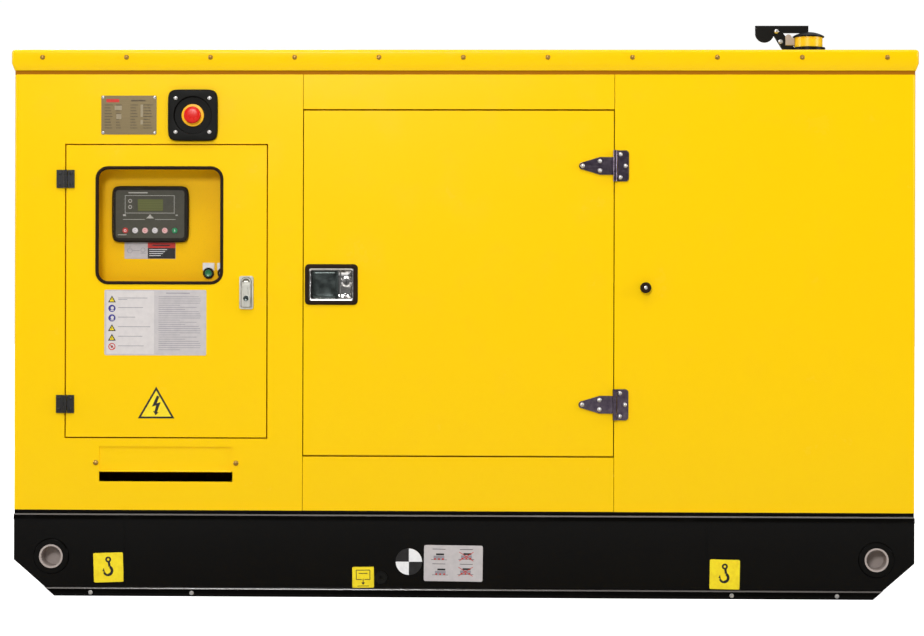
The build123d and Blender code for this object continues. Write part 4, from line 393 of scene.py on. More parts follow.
class Label:
    """A flat label on a wall that faces along Y; drawn as seen from in front of it."""

    def __init__(self, centre_x, centre_z, wall_y, side=-1, tilt=0):
        self.shape = bmesh.new()
        self.place = Matrix.Translation((centre_x, wall_y, centre_z))
        self.side = side
        self.tilt = tilt

    def settle(self, verts, lift, thick, ink):
        """Put flat faces drawn in XY on the wall and give them a thickness."""
        faces = list({face for vert in verts for face in vert.link_faces})
        for face in faces:
            face.material_index = ink
        grown = bmesh.ops.extrude_face_region(self.shape, geom=faces)["geom"]
        tops = [part for part in grown if isinstance(part, bmesh.types.BMVert)]
        bmesh.ops.translate(self.shape, verts=tops, vec=(0, 0, thick))
        every = list(set(verts) | set(tops))
        bmesh.ops.translate(self.shape, verts=every, vec=(0, 0, lift))
        spin = Matrix.Rotation(math.radians(self.tilt), 4, "Z")
        upright = Matrix.Rotation(math.radians(90), 4, "X")
        facing = Matrix.Rotation(math.radians(180), 4, "Z") if self.side > 0 else Matrix.Identity(4)
        bmesh.ops.transform(self.shape, matrix=self.place @ facing @ upright @ spin, verts=every)

    def card(self, width, height, corner, ink, lift=0, thick=0.35, at=(0, 0)):
        """A rectangle with rounded corners."""
        shrink = Matrix.Translation((*at, 0)) @ Matrix.Diagonal((width, height, 1, 1))
        made = bmesh.ops.create_grid(self.shape, x_segments=1, y_segments=1, size=0.5, matrix=shrink)
        verts = made["verts"]
        if corner:
            made = bmesh.ops.bevel(
                self.shape,
                geom=verts,
                offset=corner,
                segments=5,
                affect="VERTICES",
                profile=0.5,
                material=-1,
            )
            verts = made["verts"]
        self.settle(verts, lift, thick, ink)

    def disc(self, radius, ink, at=(0, 0), lift=0.35, thick=0.1, segments=32):
        """A round patch."""
        place = Matrix.Translation((*at, 0))
        made = bmesh.ops.create_circle(
            self.shape, cap_ends=True, segments=segments, radius=radius, matrix=place
        )
        self.settle(made["verts"], lift, thick, ink)

    def band(self, centre, inner, outer, start, sweep, ink, lift=0.35, thick=0.1, steps=18):
        """Part of a ring, swept from a short edge."""
        first = math.radians(start)
        reach = Vector((math.cos(first), math.sin(first), 0))
        middle = Vector((*centre, 0))
        verts = [self.shape.verts.new(middle + reach * radius) for radius in (inner, outer)]
        edge = self.shape.edges.new(verts)
        known = set(self.shape.verts) - set(verts)
        bmesh.ops.spin(
            self.shape,
            geom=[*verts, edge],
            cent=middle,
            axis=(0, 0, 1),
            angle=math.radians(sweep),
            steps=steps,
            use_merge=abs(sweep) >= 360,
        )
        new = [vert for vert in self.shape.verts if vert not in known]
        loose = [face for vert in new for face in vert.link_faces if face.normal.z < 0]
        bmesh.ops.reverse_faces(self.shape, faces=list(set(loose)))
        self.settle(new, lift, thick, ink)

    def polygon(self, points, ink, lift=0.35, thick=0.1):
        """A patch with straight sides, its corners given counterclockwise."""
        verts = [self.shape.verts.new((*point, 0)) for point in points]
        self.shape.faces.new(verts)
        self.settle(verts, lift, thick, ink)

    def bar(self, start, end, width, ink, lift=0.35, thick=0.1):
        """A straight stroke."""
        run = Vector(end) - Vector(start)
        side = Vector((-run.y, run.x)).normalized() * (width / 2)
        first, last = Vector(start), Vector(end)
        self.polygon([first - side, last - side, last + side, first + side], ink, lift, thick)

    def done(self, name, finishes, body, stands_for=()):
        bmesh.ops.recalc_face_normals(self.shape, faces=self.shape.faces)
        finish_piece(name, self.shape, finishes, body, stands_for)


for side, side_name in ((-1, "front"), (1, "rear")):
    web_y = side * (base_high.y - 6)
    for end_name, label_x, label_z, tilt in (("left", -985, 79, 2), ("right", 727, 68, -1)):
        hook = Label(-side * label_x, label_z, web_y, side, tilt)
        hook.card(83, 82, 4, 0)
        hook.band((0, 22), 3.4, 8.4, 0, 360, 1)
        hook.bar((1.6, 14.6), (3.4, 2), 6.6, 1)
        hook.band((-2, -9), 8, 15.6, 62, -150, 1, lift=0.36)
        hook.band((-1.2, -9.5), 9, 14.8, -88, -74, 1, lift=0.37)
        hook.polygon([(-17, -10), (-10.2, -13), (-13, -1)], 1, lift=0.38)
        hook.done(f"lifting_label_{side_name}_{end_name}", [YELLOW_VINYL, BLACK_INK], "generator")

web_front = base_low.y + 6
mark = Label(-148, 99, web_front)
mark.disc(37, 0, lift=0, thick=0.3, segments=48)
mark.band((0, 0), 0, 36.6, 0, 90, 1)
mark.band((0, 0), 0, 36.6, 180, 90, 1)
mark.done("balance_mark", [BLACK_INK, WHITE_VINYL], "generator")

handling = Label(-24.5, 95, web_front, -1, -0.6)
handling.card(163, 100, 5, 0)
for sign_x, sign_z, barred in ((-40, 16, False), (36, 18, True), (-36, -26, False), (34, -24, True)):
    handling.card(30, 9, 0, 1, 0.35, 0.1, (sign_x, sign_z))
    handling.card(22, 5, 0, 2, 0.35, 0.1, (sign_x + 3, sign_z + 8.5))
    handling.bar((sign_x - 22, sign_z - 6.5), (sign_x + 22, sign_z - 6.5), 1.2, 2)
    for wheel in (-11, 0, 11):
        handling.disc(2.4, 3, (sign_x + wheel, sign_z - 4.4), 0.46, 0.1, 12)
    if barred:
        handling.bar((sign_x - 20, sign_z - 11), (sign_x + 20, sign_z + 14), 1.6, 3, 0.57)
        handling.bar((sign_x - 20, sign_z + 14), (sign_x + 20, sign_z - 11), 1.6, 3, 0.68)
for row_x in (-40, 36):
    for row_z in (39, -2):
        handling.bar((row_x - 18, row_z), (row_x + 18, row_z), 1.4, 2)
handling.done("handling_card", [GREY_VINYL, GREY_INK, BLACK_INK, RED_INK], "generator")

drain_label = Label(-275, 55, web_front, -1, 0.8)
drain_label.card(60, 58, 3, 0)
for start, end in (
    ((-19, -6), (-19, 20)),
    ((19, -6), (19, 20)),
    ((-19, 20), (19, 20)),
    ((-19, -6), (-4, -6)),
    ((4, -6), (19, -6)),
    ((-12, 11), (12, 11)),
    ((0, -4), (0, -16)),
):
    drain_label.bar(start, end, 2, 1)
drain_label.polygon([(-5, -14), (0, -21), (5, -14)], 1, lift=0.46)
drain_label.bar((-16, -24), (16, -24), 1.6, 1)
drain_label.done("drain_label", [YELLOW_VINYL, BLACK_INK], "generator")

# --- Canopy shells, door frames and louvres ---
# Folded 3 mm steel sheet in gloss yellow powder coat, screwed to the base through
# foot flanges. The edges of the sheets are eased, and slanted blades fill the air
# openings of both ends, with a black mesh behind them.

YELLOW_COAT = powder_coat(
    "gloss_yellow_coat", (0.95, 0.6, 0.0005, 1), (0.92, 0.555, 0.0008, 1), 0.22, 0.16
)
DOOR_FRAME_TRIM = 1.2
for part in ("left_end_shell", "right_end_shell", "front_door_frame", "rear_door_frame"):
    sheet = welded_copy(part)
    part_low, part_high = box_mm(part)
    if "frame" in part:
        for vert in sheet.verts:
            if vert.co.x < part_low.x + 0.2:
                vert.co.x += DOOR_FRAME_TRIM
            elif vert.co.x > part_high.x - 0.2:
                vert.co.x -= DOOR_FRAME_TRIM
    ease(sheet, sharp_edges(sheet, 50), 1.2)
    finish_piece(f"{part}_sheet", sheet, YELLOW_COAT, "generator", [part])
coat(YELLOW_COAT, "inlet_louvre", "outlet_louvre")

MESH_BLACK = Finish("black_screen", Metallic=0, Specular_IOR_Level=0.2)
mesh_y, mesh_z = MESH_BLACK.along()[1:]
wire_y = MESH_BLACK.node("Math", {"operation": "PINGPONG"}, {0: mesh_y, 1: 6})
wire_z = MESH_BLACK.node("Math", {"operation": "PINGPONG"}, {0: mesh_z, 1: 6})
wires = MESH_BLACK.node("Math", {"operation": "MINIMUM"}, {0: wire_y, 1: wire_z})
MESH_BLACK.set(
    Base_Color=MESH_BLACK.blend(wires < 1.2, srgb(9, 9, 9), srgb(46, 46, 44)),
    Roughness=0.6 + MESH_BLACK.noise(4) * 0.2,
    Normal=MESH_BLACK.relief(1 - MESH_BLACK.between(wires, 0, 1.6), 1),
)
for louvre, inward in (("inlet_louvre", 1), ("outlet_louvre", -1)):
    low, high = box_mm(louvre)
    screen = bmesh.new()
    inner = high.x if inward > 0 else low.x
    near, far = sorted((inner, inner + inward * 2))
    add_block(screen, (near, low.y + 14, low.z + 14), (far, high.y - 14, high.z - 14), 0.4)
    finish_piece(f"{louvre}_screen", screen, MESH_BLACK, "generator")

# --- Roof ---
# A folded yellow cap that overhangs the walls, with a slanted lip under its skirt
# and zinc pan-head screws along both long sides. A brown strip in the gap under
# the lip is painted shadow.

# A brown strip that fills the gap under the roof lip all round: painted shadow of the lip.
SHADOW_STRIP = grained(
    "painted_lip_shadow",
    (2, 4, 0.7),
    (srgb(150, 92, 8), srgb(176, 112, 10)),
    (0.85, 0.1),
    0.1,
    Specular_IOR_Level=0.1,
)
shadow_strip = bmesh.new()
reach_x, reach_y = base_high.x - 1.8, base_high.y - 1.8
SHADOW_STRIP_FOOT, SHADOW_STRIP_HEAD, SHADOW_STRIP_WIDTH = 1450.2, 1462.8, 7
end_y = reach_y - SHADOW_STRIP_WIDTH - 0.2
for left, right, front_y, rear_y in (
    (-reach_x, reach_x, -reach_y, -reach_y + SHADOW_STRIP_WIDTH),
    (-reach_x, reach_x, reach_y - SHADOW_STRIP_WIDTH, reach_y),
    (-reach_x, -reach_x + SHADOW_STRIP_WIDTH, -end_y, end_y),
    (reach_x - SHADOW_STRIP_WIDTH, reach_x, -end_y, end_y),
):
    add_block(shadow_strip, (left, front_y, SHADOW_STRIP_FOOT), (right, rear_y, SHADOW_STRIP_HEAD), 1.2)
finish_piece("roof_shadow_strip", shadow_strip, SHADOW_STRIP, "generator")


def eased_part(name, part, finish, body, width, turn=50, segments=2):
    """Show a CAD part in its own shape, with its edges rounded."""
    shape = welded_copy(part)
    ease(shape, sharp_edges(shape, turn), width, segments)
    finish_piece(name, shape, finish, body, [part])


eased_part("roof_sheet", "roof_panel", YELLOW_COAT, "generator", 1, 30)

PASSIVATED = grained(
    "yellow_passivated_zinc",
    (5, 4, 0.6),
    (srgb(150, 112, 44), srgb(186, 150, 78)),
    (0.26, 0.16),
    0.03,
    Metallic=0.9,
)
coat(PASSIVATED, "roof_screws")

# --- Service doors, their foam and their seals ---
# Tray-shaped doors of the same sheet on both long sides. Each holds a slab of
# grey wedge-cut sound foam, and shuts against a black rubber edging.

FOAM = Finish("sound_foam", Specular_IOR_Level=0.05)
cells = FOAM.node("TexVoronoi", None, {"Vector": FOAM.where(), "Scale": 420})
FOAM.set(
    Base_Color=FOAM.blend(FOAM.noise(60, 4), srgb(46, 46, 48), srgb(66, 65, 66)),
    Roughness=0.92 + cells * 0.05,
    Normal=FOAM.relief(cells, 0.6),
)
RUBBER = grained(
    "black_rubber",
    (1.6, 3, 0.6),
    (srgb(26, 15, 7), srgb(42, 26, 13)),
    (0.5, 0.2),
    0.05,
    cloud=(22, 4),
    Specular_IOR_Level=0.12,
)


def trim_outline(shape, trim):
    """Draw the outline of an upright panel in by trim on all four sides."""
    across = [vert.co.x for vert in shape.verts]
    up = [vert.co.z for vert in shape.verts]
    left, right, foot, head = min(across), max(across), min(up), max(up)
    for vert in shape.verts:
        vert.co.x += trim if vert.co.x < left + 0.2 else 0
        vert.co.x -= trim if vert.co.x > right - 0.2 else 0
        vert.co.z += trim if vert.co.z < foot + 0.2 else 0
        vert.co.z -= trim if vert.co.z > head - 0.2 else 0


FOAM_ROWS = 34
CREST_SHARE = 0.22
for side, side_name in ((-1, "front"), (1, "rear")):
    part = f"{side_name}_service_door"
    door = welded_copy(part)
    trim_outline(door, 1.3)
    ease(door, sharp_edges(door, 50), 2, 3)
    body = f"{side_name}_door"
    finish_piece(f"{body}_sheet", door, YELLOW_COAT, body, [part])
    low, high = box_mm(part)
    tray_low, tray_high = box_mm(f"{side_name}_latch_tray")
    face_y = side * 497
    back_y = side * 486
    foam = bmesh.new()
    foam_left, foam_right = tray_high.x + 22, high.x - 6
    foam_low, foam_high = low.z + 6, high.z - 6
    near, far = sorted((face_y, back_y))
    add_block(foam, (foam_left, near, foam_low), (foam_right, far, foam_high), 1)
    pitch = (foam_high - foam_low) / FOAM_ROWS
    crest_y = side * 475.5
    near, far = sorted((back_y, crest_y))
    for row in range(FOAM_ROWS):
        row_low = foam_low + row * pitch + 1
        row_high = row_low + pitch - 2
        verts = add_block(foam, (foam_left + 1, near, row_low), (foam_right - 1, far, row_high))
        middle = (row_low + row_high) / 2
        for vert in verts:
            if abs(vert.co.y - crest_y) < 0.1:
                vert.co.z = middle + (vert.co.z - middle) * CREST_SHARE
    finish_piece(f"{body}_foam", foam, FOAM, body)
    edging = bmesh.new()
    ring_y = side * 470
    near, far = sorted((ring_y, ring_y + side * 2.6))
    for bar_low, bar_high in (
        ((low.x + 12, near, low.z + 10), (high.x - 12, far, low.z + 19)),
        ((low.x + 12, near, high.z - 19), (high.x - 12, far, high.z - 10)),
        ((low.x + 12, near, low.z + 10), (low.x + 21, far, high.z - 10)),
        ((high.x - 21, near, low.z + 10), (high.x - 12, far, high.z - 10)),
    ):
        add_block(edging, bar_low, bar_high, 1)
    finish_piece(f"{body}_edging", edging, RUBBER, "generator")

# --- Door latches ---
# Flush paddle latches: a black moulded surround, a polished pressed bowl with a
# key cylinder beside the paddle, and a dark chrome paddle on an upright pin.

CHROME = Finish("polished_chrome", Metallic=1)
smear = CHROME.between(CHROME.noise(18, 4, 0.6), 0.35, 0.75)
CHROME.set(
    Base_Color=CHROME.blend(smear, (0.86, 0.84, 0.82, 1), (0.62, 0.6, 0.59, 1)),
    Roughness=0.07 + smear * 0.14,
    Normal=CHROME.relief(CHROME.noise(7, 2), 0.03),
)
DARK_CHROME = Finish("dark_chrome", Metallic=0.85, Specular_IOR_Level=0.5)
haze = DARK_CHROME.between(DARK_CHROME.noise(24, 4, 0.6), 0.3, 0.75)
DARK_CHROME.set(
    Base_Color=DARK_CHROME.blend(haze, srgb(58, 64, 62), srgb(92, 100, 98)),
    Roughness=0.12 + haze * 0.16,
    Normal=DARK_CHROME.relief(DARK_CHROME.noise(10, 2), 0.04),
)


def rounded_face(shape, low_x, high_x, low_z, high_z, corner, y, segments=6):
    """One upright face with round corners that looks towards the control side."""
    known = set(shape.faces)
    spread = Matrix.Diagonal((high_x - low_x, high_z - low_z, 1, 1))
    upright = Matrix.Rotation(math.radians(90), 4, "X")
    place = Matrix.Translation(((low_x + high_x) / 2, y, (low_z + high_z) / 2)) @ upright @ spread
    verts = bmesh.ops.create_grid(shape, x_segments=1, y_segments=1, size=0.5, matrix=place)["verts"]
    bmesh.ops.bevel(
        shape, geom=verts, offset=corner, segments=segments, affect="VERTICES", profile=0.5, material=-1
    )
    return next(face for face in shape.faces if face not in known)


def stack_rims(shape, rims, fill=True):
    """Rounded upright rims joined one to the next into a skin that looks forward."""
    faces = [rounded_face(shape, *rim) for rim in rims]
    loops = [list(face.edges) for face in faces]
    bmesh.ops.delete(shape, geom=faces[:-1] if fill else faces, context="FACES_ONLY")
    skin = [faces[-1]] if fill else []
    for first, second in zip(loops, loops[1:]):
        skin += bmesh.ops.bridge_loops(shape, edges=first + second)["faces"]
    bmesh.ops.recalc_face_normals(shape, faces=skin)
    shape.normal_update()
    widest = max(skin, key=lambda face: abs(face.normal.y) * face.calc_area())
    if widest.normal.y > 0:
        bmesh.ops.reverse_faces(shape, faces=skin)
    return skin


def rims_of(low_x, high_x, low_z, high_z, corner, steps):
    """Rims that step in from one outline; steps are pairs of inset and Y."""
    return [
        (low_x + inset, high_x - inset, low_z + inset, high_z - inset, max(corner - inset, 1.6), y)
        for inset, y in steps
    ]


def to_side(shape, side):
    """Leave a front shape in front, or mirror it to the other long side."""
    if side > 0:
        bmesh.ops.scale(shape, vec=(1, -1, 1), verts=shape.verts)
        bmesh.ops.reverse_faces(shape, faces=shape.faces)


tray_low, tray_high = box_mm("front_latch_tray")
paddle_low, paddle_high = box_mm("front_latch_paddle")
for side, side_name in ((-1, "front"), (1, "rear")):
    outline = (tray_low.x, tray_high.x, tray_low.z, tray_high.z, 12)
    surround = bmesh.new()
    steps = ((0, -500.1), (0, -502), (1, -503.8), (3, -505), (9, -505.2), (11, -504.4), (11.4, -501))
    stack_rims(surround, rims_of(*outline, steps), False)
    to_side(surround, side)
    finish_piece(f"{side_name}_latch_surround", surround, RUBBER, f"{side_name}_door")

    bowl = bmesh.new()
    steps = (
        (11, -501),
        (11.2, -504),
        (11.8, -504.8),
        (13.2, -504.2),
        (15.2, -502.9),
        (16.8, -501.2),
        (17, -496),
        (18.2, -490),
        (21, -486.6),
        (25, -485),
        (32, -484.4),
    )
    stack_rims(bowl, rims_of(*outline[:4], 18, steps))
    to_side(bowl, side)
    covered = [f"{side_name}_latch_tray"]
    finish_piece(f"{side_name}_latch_bowl", bowl, CHROME, f"{side_name}_door", covered)

    lock = bmesh.new()
    lock_x = (paddle_high.x + tray_high.x - 12) / 2 + 1
    lock_z = (tray_low.z + tray_high.z) / 2 + 8
    rib_low = (paddle_high.x + 3, -494, tray_low.z + 17)
    rib_high = (paddle_high.x + 8, -486, tray_high.z - 17)
    add_block(lock, rib_low, rib_high, 1.6)
    cylinder = [(15.5, -12), (15.5, 6), (14, 8), (12, 8.4), (11, 12), (9.6, 13), (8.8, 12.2), (0, 12.2)]
    add_turned(lock, (lock_x, -488, lock_z), cylinder, steps=48)
    add_turned(lock, (lock_x - 3, -486, lock_z - 36), [(5, 0), (5, 3), (4, 4.4), (0, 5)])
    to_side(lock, side)
    finish_piece(f"{side_name}_lock_cylinder", lock, CHROME, f"{side_name}_door")

    slot = bmesh.new()
    add_block(slot, (lock_x - 1.2, -500.8, lock_z - 5.4), (lock_x + 1.2, -499.6, lock_z + 5.4), 0.3)
    to_side(slot, side)
    finish_piece(f"{side_name}_lock_keyway", slot, BLACK_PLASTIC, f"{side_name}_door")

    paddle = bmesh.new()
    steps = (
        (0.8, -492.8),
        (0, -494),
        (0, -495),
        (0.8, -496.4),
        (3, -497.6),
        (6, -498.6),
        (7.4, -498.8),
        (9, -498.6),
        (16, -498.2),
    )
    stack_rims(paddle, rims_of(paddle_low.x, paddle_high.x - 2, paddle_low.z, paddle_high.z, 8, steps))
    pin_x = paddle_high.x - 4.5
    pin_run = [(4.2, 0), (4.4, 0.6), (4.4, 77.4), (4.2, 78), (0, 78)]
    add_turned(paddle, (pin_x, -498, paddle_low.z), [(0, 0), *pin_run], (0, 0, 1), 24)
    to_side(paddle, side)
    finish_piece(
        f"{side_name}_paddle_plate",
        paddle,
        DARK_CHROME,
        f"{side_name}_paddle",
        [f"{side_name}_latch_paddle"],
    )

# --- Strap hinges and door buffers ---
# Polished stainless strap hinges hold the service doors with round-head screws. A
# rubber buffer on a screw stops each door when it is swung right back.

STAINLESS = Finish("polished_stainless", Metallic=1)
lay = STAINLESS.noise(40, 3, 0.6, (1, 1, 14))
tarnish = STAINLESS.between(STAINLESS.noise(12, 5, 0.6), 0.35, 0.7)
STAINLESS.set(
    Base_Color=STAINLESS.blend(tarnish, srgb(92, 80, 98), srgb(132, 120, 130)),
    Roughness=0.13 + lay * 0.12,
    Normal=STAINLESS.relief(lay, 0.008),
)
for side_name in ("front", "rear"):
    for part, body in (("strap_leaves", f"{side_name}_door"), ("hinge_bases", "generator")):
        part = f"{side_name}_{part}"
        eased_part(f"{part}_steel", part, STAINLESS, body, 0.7)

HINGE_PIN_X = box_mm("front_strap_leaves")[1].x - 6
LEAF_FACE = 504
DOME_HEAD = [(6.4, 0), (6.3, 1.2), (5.2, 2.9), (3.2, 4.1), (1.4, 4.5), (0, 4.6)]
for side, side_name in ((-1, "front"), (1, "rear")):
    for leaf, body, places in (
        ("strap", f"{side_name}_door", ((-90, 0), (-42, -13), (-42, 13))),
        ("leaf", "generator", ((14, -32), (14, 32), (28, 0))),
    ):
        screws = bmesh.new()
        for hinge_z in (537, 1198):
            for dx, dz in places:
                place = (HINGE_PIN_X + dx, side * LEAF_FACE, hinge_z + dz)
                add_turned(screws, place, DOME_HEAD, (0, side, 0), 24)
        finish_piece(f"{side_name}_{leaf}_screws", screws, ZINC, body)

coat(RUBBER, "door_bumpers")


def middle_of(name):
    """Middle of a CAD part and half its size, in millimetres."""
    low, high = box_mm(name)
    return (low + high) / 2, (high - low) / 2


bumper, bumper_half = middle_of("door_bumpers")
bumper_screws = bmesh.new()
for side in (-1, 1):
    place = (bumper.x, side * (bumper.y + bumper_half.y + 0.1), bumper.z)
    head = [(5, -1), (5, 0.4), (4, 1), (1.5, 1.2), (0, 0.6)]
    add_turned(bumper_screws, place, head, (0, side, 0))
finish_piece("door_bumper_screws", bumper_screws, ZINC, "generator")

# --- Control door ---
# A tray of the same yellow sheet on two black butt hinges, with a window held by
# a rubber section and a folding lever handle. Its labels are vinyl.

door = welded_copy("control_door")
trim_outline(door, 0.6)
ease(door, sharp_edges(door, 50), 1.8, 3)
finish_piece("control_door_sheet", door, YELLOW_COAT, "control_door", ["control_door"])
seal_low, seal_high = box_mm("window_seal")
seal = bmesh.new()
steps = ((0.2, -496.9), (0.2, -495), (1, -493.8), (4.5, -493.2), (8, -493.8), (9, -495), (9, -500.6))
steps += ((8.4, -502.2), (6.6, -503.2), (4.4, -503.5), (2.2, -503.2), (0.5, -502.2), (0, -500.1))
rims = rims_of(seal_low.x, seal_high.x, seal_low.z, seal_high.z, 35, steps)
stack_rims(seal, rims, False)
finish_piece("window_seal_section", seal, RUBBER, "control_door", ["window_seal"])

PANE = Finish("clear_pane", Transmission_Weight=1, IOR=1.45, Specular_IOR_Level=0.2)
wipe = PANE.between(PANE.noise(90, 4, 0.6, (1, 1, 3)), 0.5, 0.85)
PANE.set(Base_Color=PANE.blend(wipe, (1, 1, 1, 1), (0.96, 0.97, 0.95, 1)), Roughness=wipe * 0.03)
PANE.set(Alpha=0.04 + wipe * 0.02)
coat(PANE, "window_pane")

HINGE_BLACK = powder_coat("satin_black_coat", srgb(20, 19, 18), srgb(36, 34, 32), 0.34, 0.4)
for part, body in (("control_hinge_leaves", "control_door"), ("control_hinge_bases", "generator")):
    eased_part(f"{part}_steel", part, HINGE_BLACK, body, 0.6)
hinge_pin_x = box_mm("control_hinge_leaves")[0].x + 5.5
for name, body, dx in (
    ("butt_leaf_screws", "control_door", 16),
    ("butt_base_screws", "generator", -16),
):
    screws = bmesh.new()
    for hinge_z in (534, 1160):
        for dz in (-15, 15):
            head = [(4.6, 0), (4.5, 0.5), (3.2, 1.4), (1.6, 1.8), (0, 1.2)]
            add_turned(screws, (hinge_pin_x + dx, -505, hinge_z + dz), head, steps=24)
    finish_piece(name, screws, HINGE_BLACK, body)

PALE_VINYL = vinyl("pale_vinyl", srgb(212, 206, 204), srgb(202, 196, 195))
BLUE_INK = vinyl("blue_ink", srgb(52, 48, 140), srgb(40, 38, 116))
FRONT_FACE = -500
card = Label(-855, 761, FRONT_FACE)
card.card(284, 182, 4, 0)
card.card(133, 175, 2, 1, 0.35, 0.05, (-70, 0))
for row in range(6):
    row_z = 66 - row * 26.6
    if row in (0, 3, 4):
        card.polygon([(-132, row_z - 10), (-110, row_z - 10), (-121, row_z + 9)], 2, 0.41)
        card.polygon([(-127.4, row_z - 7.4), (-114.6, row_z - 7.4), (-121, row_z + 4)], 3, 0.52)
        card.bar((-121, row_z - 5), (-121, row_z + 0.6), 1.8, 2, 0.63)
    elif row == 5:
        card.band((-121, row_z), 7.6, 10, 0, 360, 4, 0.41)
        card.bar((-127, row_z + 6), (-115, row_z - 6), 2.2, 4, 0.52)
        card.disc(3.4, 2, (-121, row_z), 0.41, 0.08, 16)
    else:
        card.disc(10, 5, (-121, row_z), 0.41)
        card.disc(4.6, 1, (-120, row_z + 1), 0.52, 0.1, 20)
        card.bar((-125, row_z - 5.6), (-116, row_z - 5.6), 2.6, 1, 0.52)
    card.bar((-104, row_z + 2.2), (-104 + (82, 70, 48, 90, 68, 72)[row], row_z + 2.2), 1.6, 6, 0.41)
    if row == 0:
        card.bar((-104, row_z - 2), (-78, row_z - 2), 1.6, 6, 0.41)
card.bar((30, 82), (96, 82), 2.6, 6, 0.35)
for row in range(26):
    row_z = 72 - row * 5.9
    length = (112, 116, 74, 118, 106, 116, 60)[row * 5 % 7]
    card.bar((9, row_z), (9 + length, row_z), 1.5, 6, 0.35)
card.done(
    "operating_card",
    [GREY_VINYL, PALE_VINYL, BLACK_INK, YELLOW_VINYL, RED_INK, BLUE_INK, GREY_INK],
    "control_door",
)

danger = Label(-852, 524, FRONT_FACE)
half_side = 51
rise = half_side * math.sqrt(3) / 3
triangle = [(-half_side, -rise), (half_side, -rise), (0, 2 * rise)]
danger.polygon(triangle, 0, 0, 0.3)
inner = [(x * 0.82, z * 0.82) for x, z in triangle]
danger.polygon(inner, 1, 0.31)
bolt = [(2, 34), (-12, 3), (0, 7), (-4.5, -10), (-9, -8), (-1.5, -20.5), (7, -12.5), (2.6, -11.6)]
danger.polygon([*bolt, (12.5, 16), (1.6, 12.4), (9, 32)], 0, 0.42)
danger.done("voltage_sign", [BLACK_INK, YELLOW_VINYL], "control_door")

# --- Door handle ---
# A pressed chrome plate with a lever that folds out and turns a cam behind the
# door. A small lock barrel sits under the lever. Dark lines round the lever and a
# dark arc over its crown are painted shadow.

SATIN_CHROME = grained(
    "satin_chrome",
    (30, 3, 0.6, (16, 1, 1)),
    (srgb(186, 184, 173), srgb(220, 217, 206)),
    (0.2, 0.2),
    0.02,
    Metallic=1,
)
# Dark paint along the lever's recess and over its crown: painted shadow, not grooves.
RECESS_SHADOW_PAINT = vinyl("groove_shadow_paint", srgb(84, 78, 62), srgb(104, 96, 78))
plate, plate_half = middle_of("handle_plate")
for part, body, width in (("handle_plate", "control_door", 1.2), ("handle_lever", "handle_lever", 1.3)):
    eased_part(f"{part}_chrome", part, SATIN_CHROME, body, width, segments=3)
coat(SATIN_CHROME, "handle_spindle")
barrel = bmesh.new()
rim = [(7.6, 0), (7.6, 1.2), (6.8, 2), (5, 1.2), (0, 1.2)]
lever_low = box_mm("handle_lever")[0]
add_turned(barrel, (plate.x, lever_low.y + 0.2, lever_low.z + 24), rim, steps=32)
finish_piece("handle_barrel", barrel, DARK_CHROME, "handle_lever")
crown = Label(plate.x, 875, lever_low.y)
crown.band((0, -2), 7.4, 11.2, 8, 164, 0, 0.05, 0.3)
crown.done("lever_crown_painted_shadow", RECESS_SHADOW_PAINT, "handle_lever")
channel = Label(plate.x, plate.z, plate.y - plate_half.y)
for edge_x in (-14.2, 14.2):
    channel.bar((edge_x, -40), (edge_x, 30), 1.6, 0, 0.02, 0.12)
channel.band((0, 29), 13.4, 15, 0, 180, 0, 0.02, 0.12)
channel.bar((-14.2, -40), (14.2, -40), 1.4, 0, 0.02, 0.12)
channel.done("handle_channel_painted_shadow", RECESS_SHADOW_PAINT, "control_door")
keyway = bmesh.new()
add_block(
    keyway,
    (plate.x - 0.9, lever_low.y - 1.9, lever_low.z + 20.4),
    (plate.x + 0.9, lever_low.y - 1, lever_low.z + 27.6),
    0.2,
)
finish_piece("handle_keyway", keyway, BLACK_PLASTIC, "handle_lever")

# --- Rating plate, emergency stop and cable outlet ---
# A riveted brushed plate, a black shroud round a red mushroom button with a yellow
# ring, and the sheet shutter that clamps over the cables.

BRUSHED = grained(
    "brushed_plate",
    (60, 4, 0.7, (1, 1, 40)),
    (srgb(92, 80, 56), srgb(122, 108, 80)),
    (0.32, 0.2),
    0.02,
    Metallic=0.85,
)
PLATE_INK = vinyl("plate_ink", srgb(66, 55, 36), srgb(84, 70, 48))
PLATE_BARE = vinyl("plate_bare", srgb(152, 139, 112), srgb(142, 128, 102))
rated, rated_half = middle_of("nameplate")
rating = Label(rated.x, rated.z, FRONT_FACE)
rating.card(rated_half.x * 2, rated_half.z * 2, 3, 0, 0, 1)
rating.card(36, 9, 1, 1, 1, 0.1, (-45, 40))
rating.card(40, 4, 0.5, 2, 1, 0.1, (26, 40))
for row in range(9):
    row_z = 28 - row * 8
    for start, length in ((-68, 24), (-36, 16), (4, 22), (40, 27)):
        rating.bar((start, row_z), (start + length - (row * 7 % 9), row_z), 2.2, 2, 1)
for block_x, block_z, wide, tall in (
    (-30, 20, 20, 12),
    (-28, -4, 14, 14),
    (36, 12, 7, 34),
    (36, -20, 7, 12),
):
    rating.card(wide, tall, 1, 3, 1.05, 0.1, (block_x, block_z))
plate_finishes = [BRUSHED, RED_INK, PLATE_INK, PLATE_BARE]
rating.done("rating_plate", plate_finishes, "generator", ["nameplate"])
rivets = bmesh.new()
for across, up in ((-1, -1), (-1, 1), (1, -1), (1, 1)):
    place = (rated.x + across * (rated_half.x - 5), -501, rated.z + up * (rated_half.z - 5))
    add_turned(rivets, place, [(4.2, 0), (3.9, 1), (2.4, 1.9), (0, 2.2)])
finish_piece("rating_plate_rivets", rivets, ZINC, "generator")


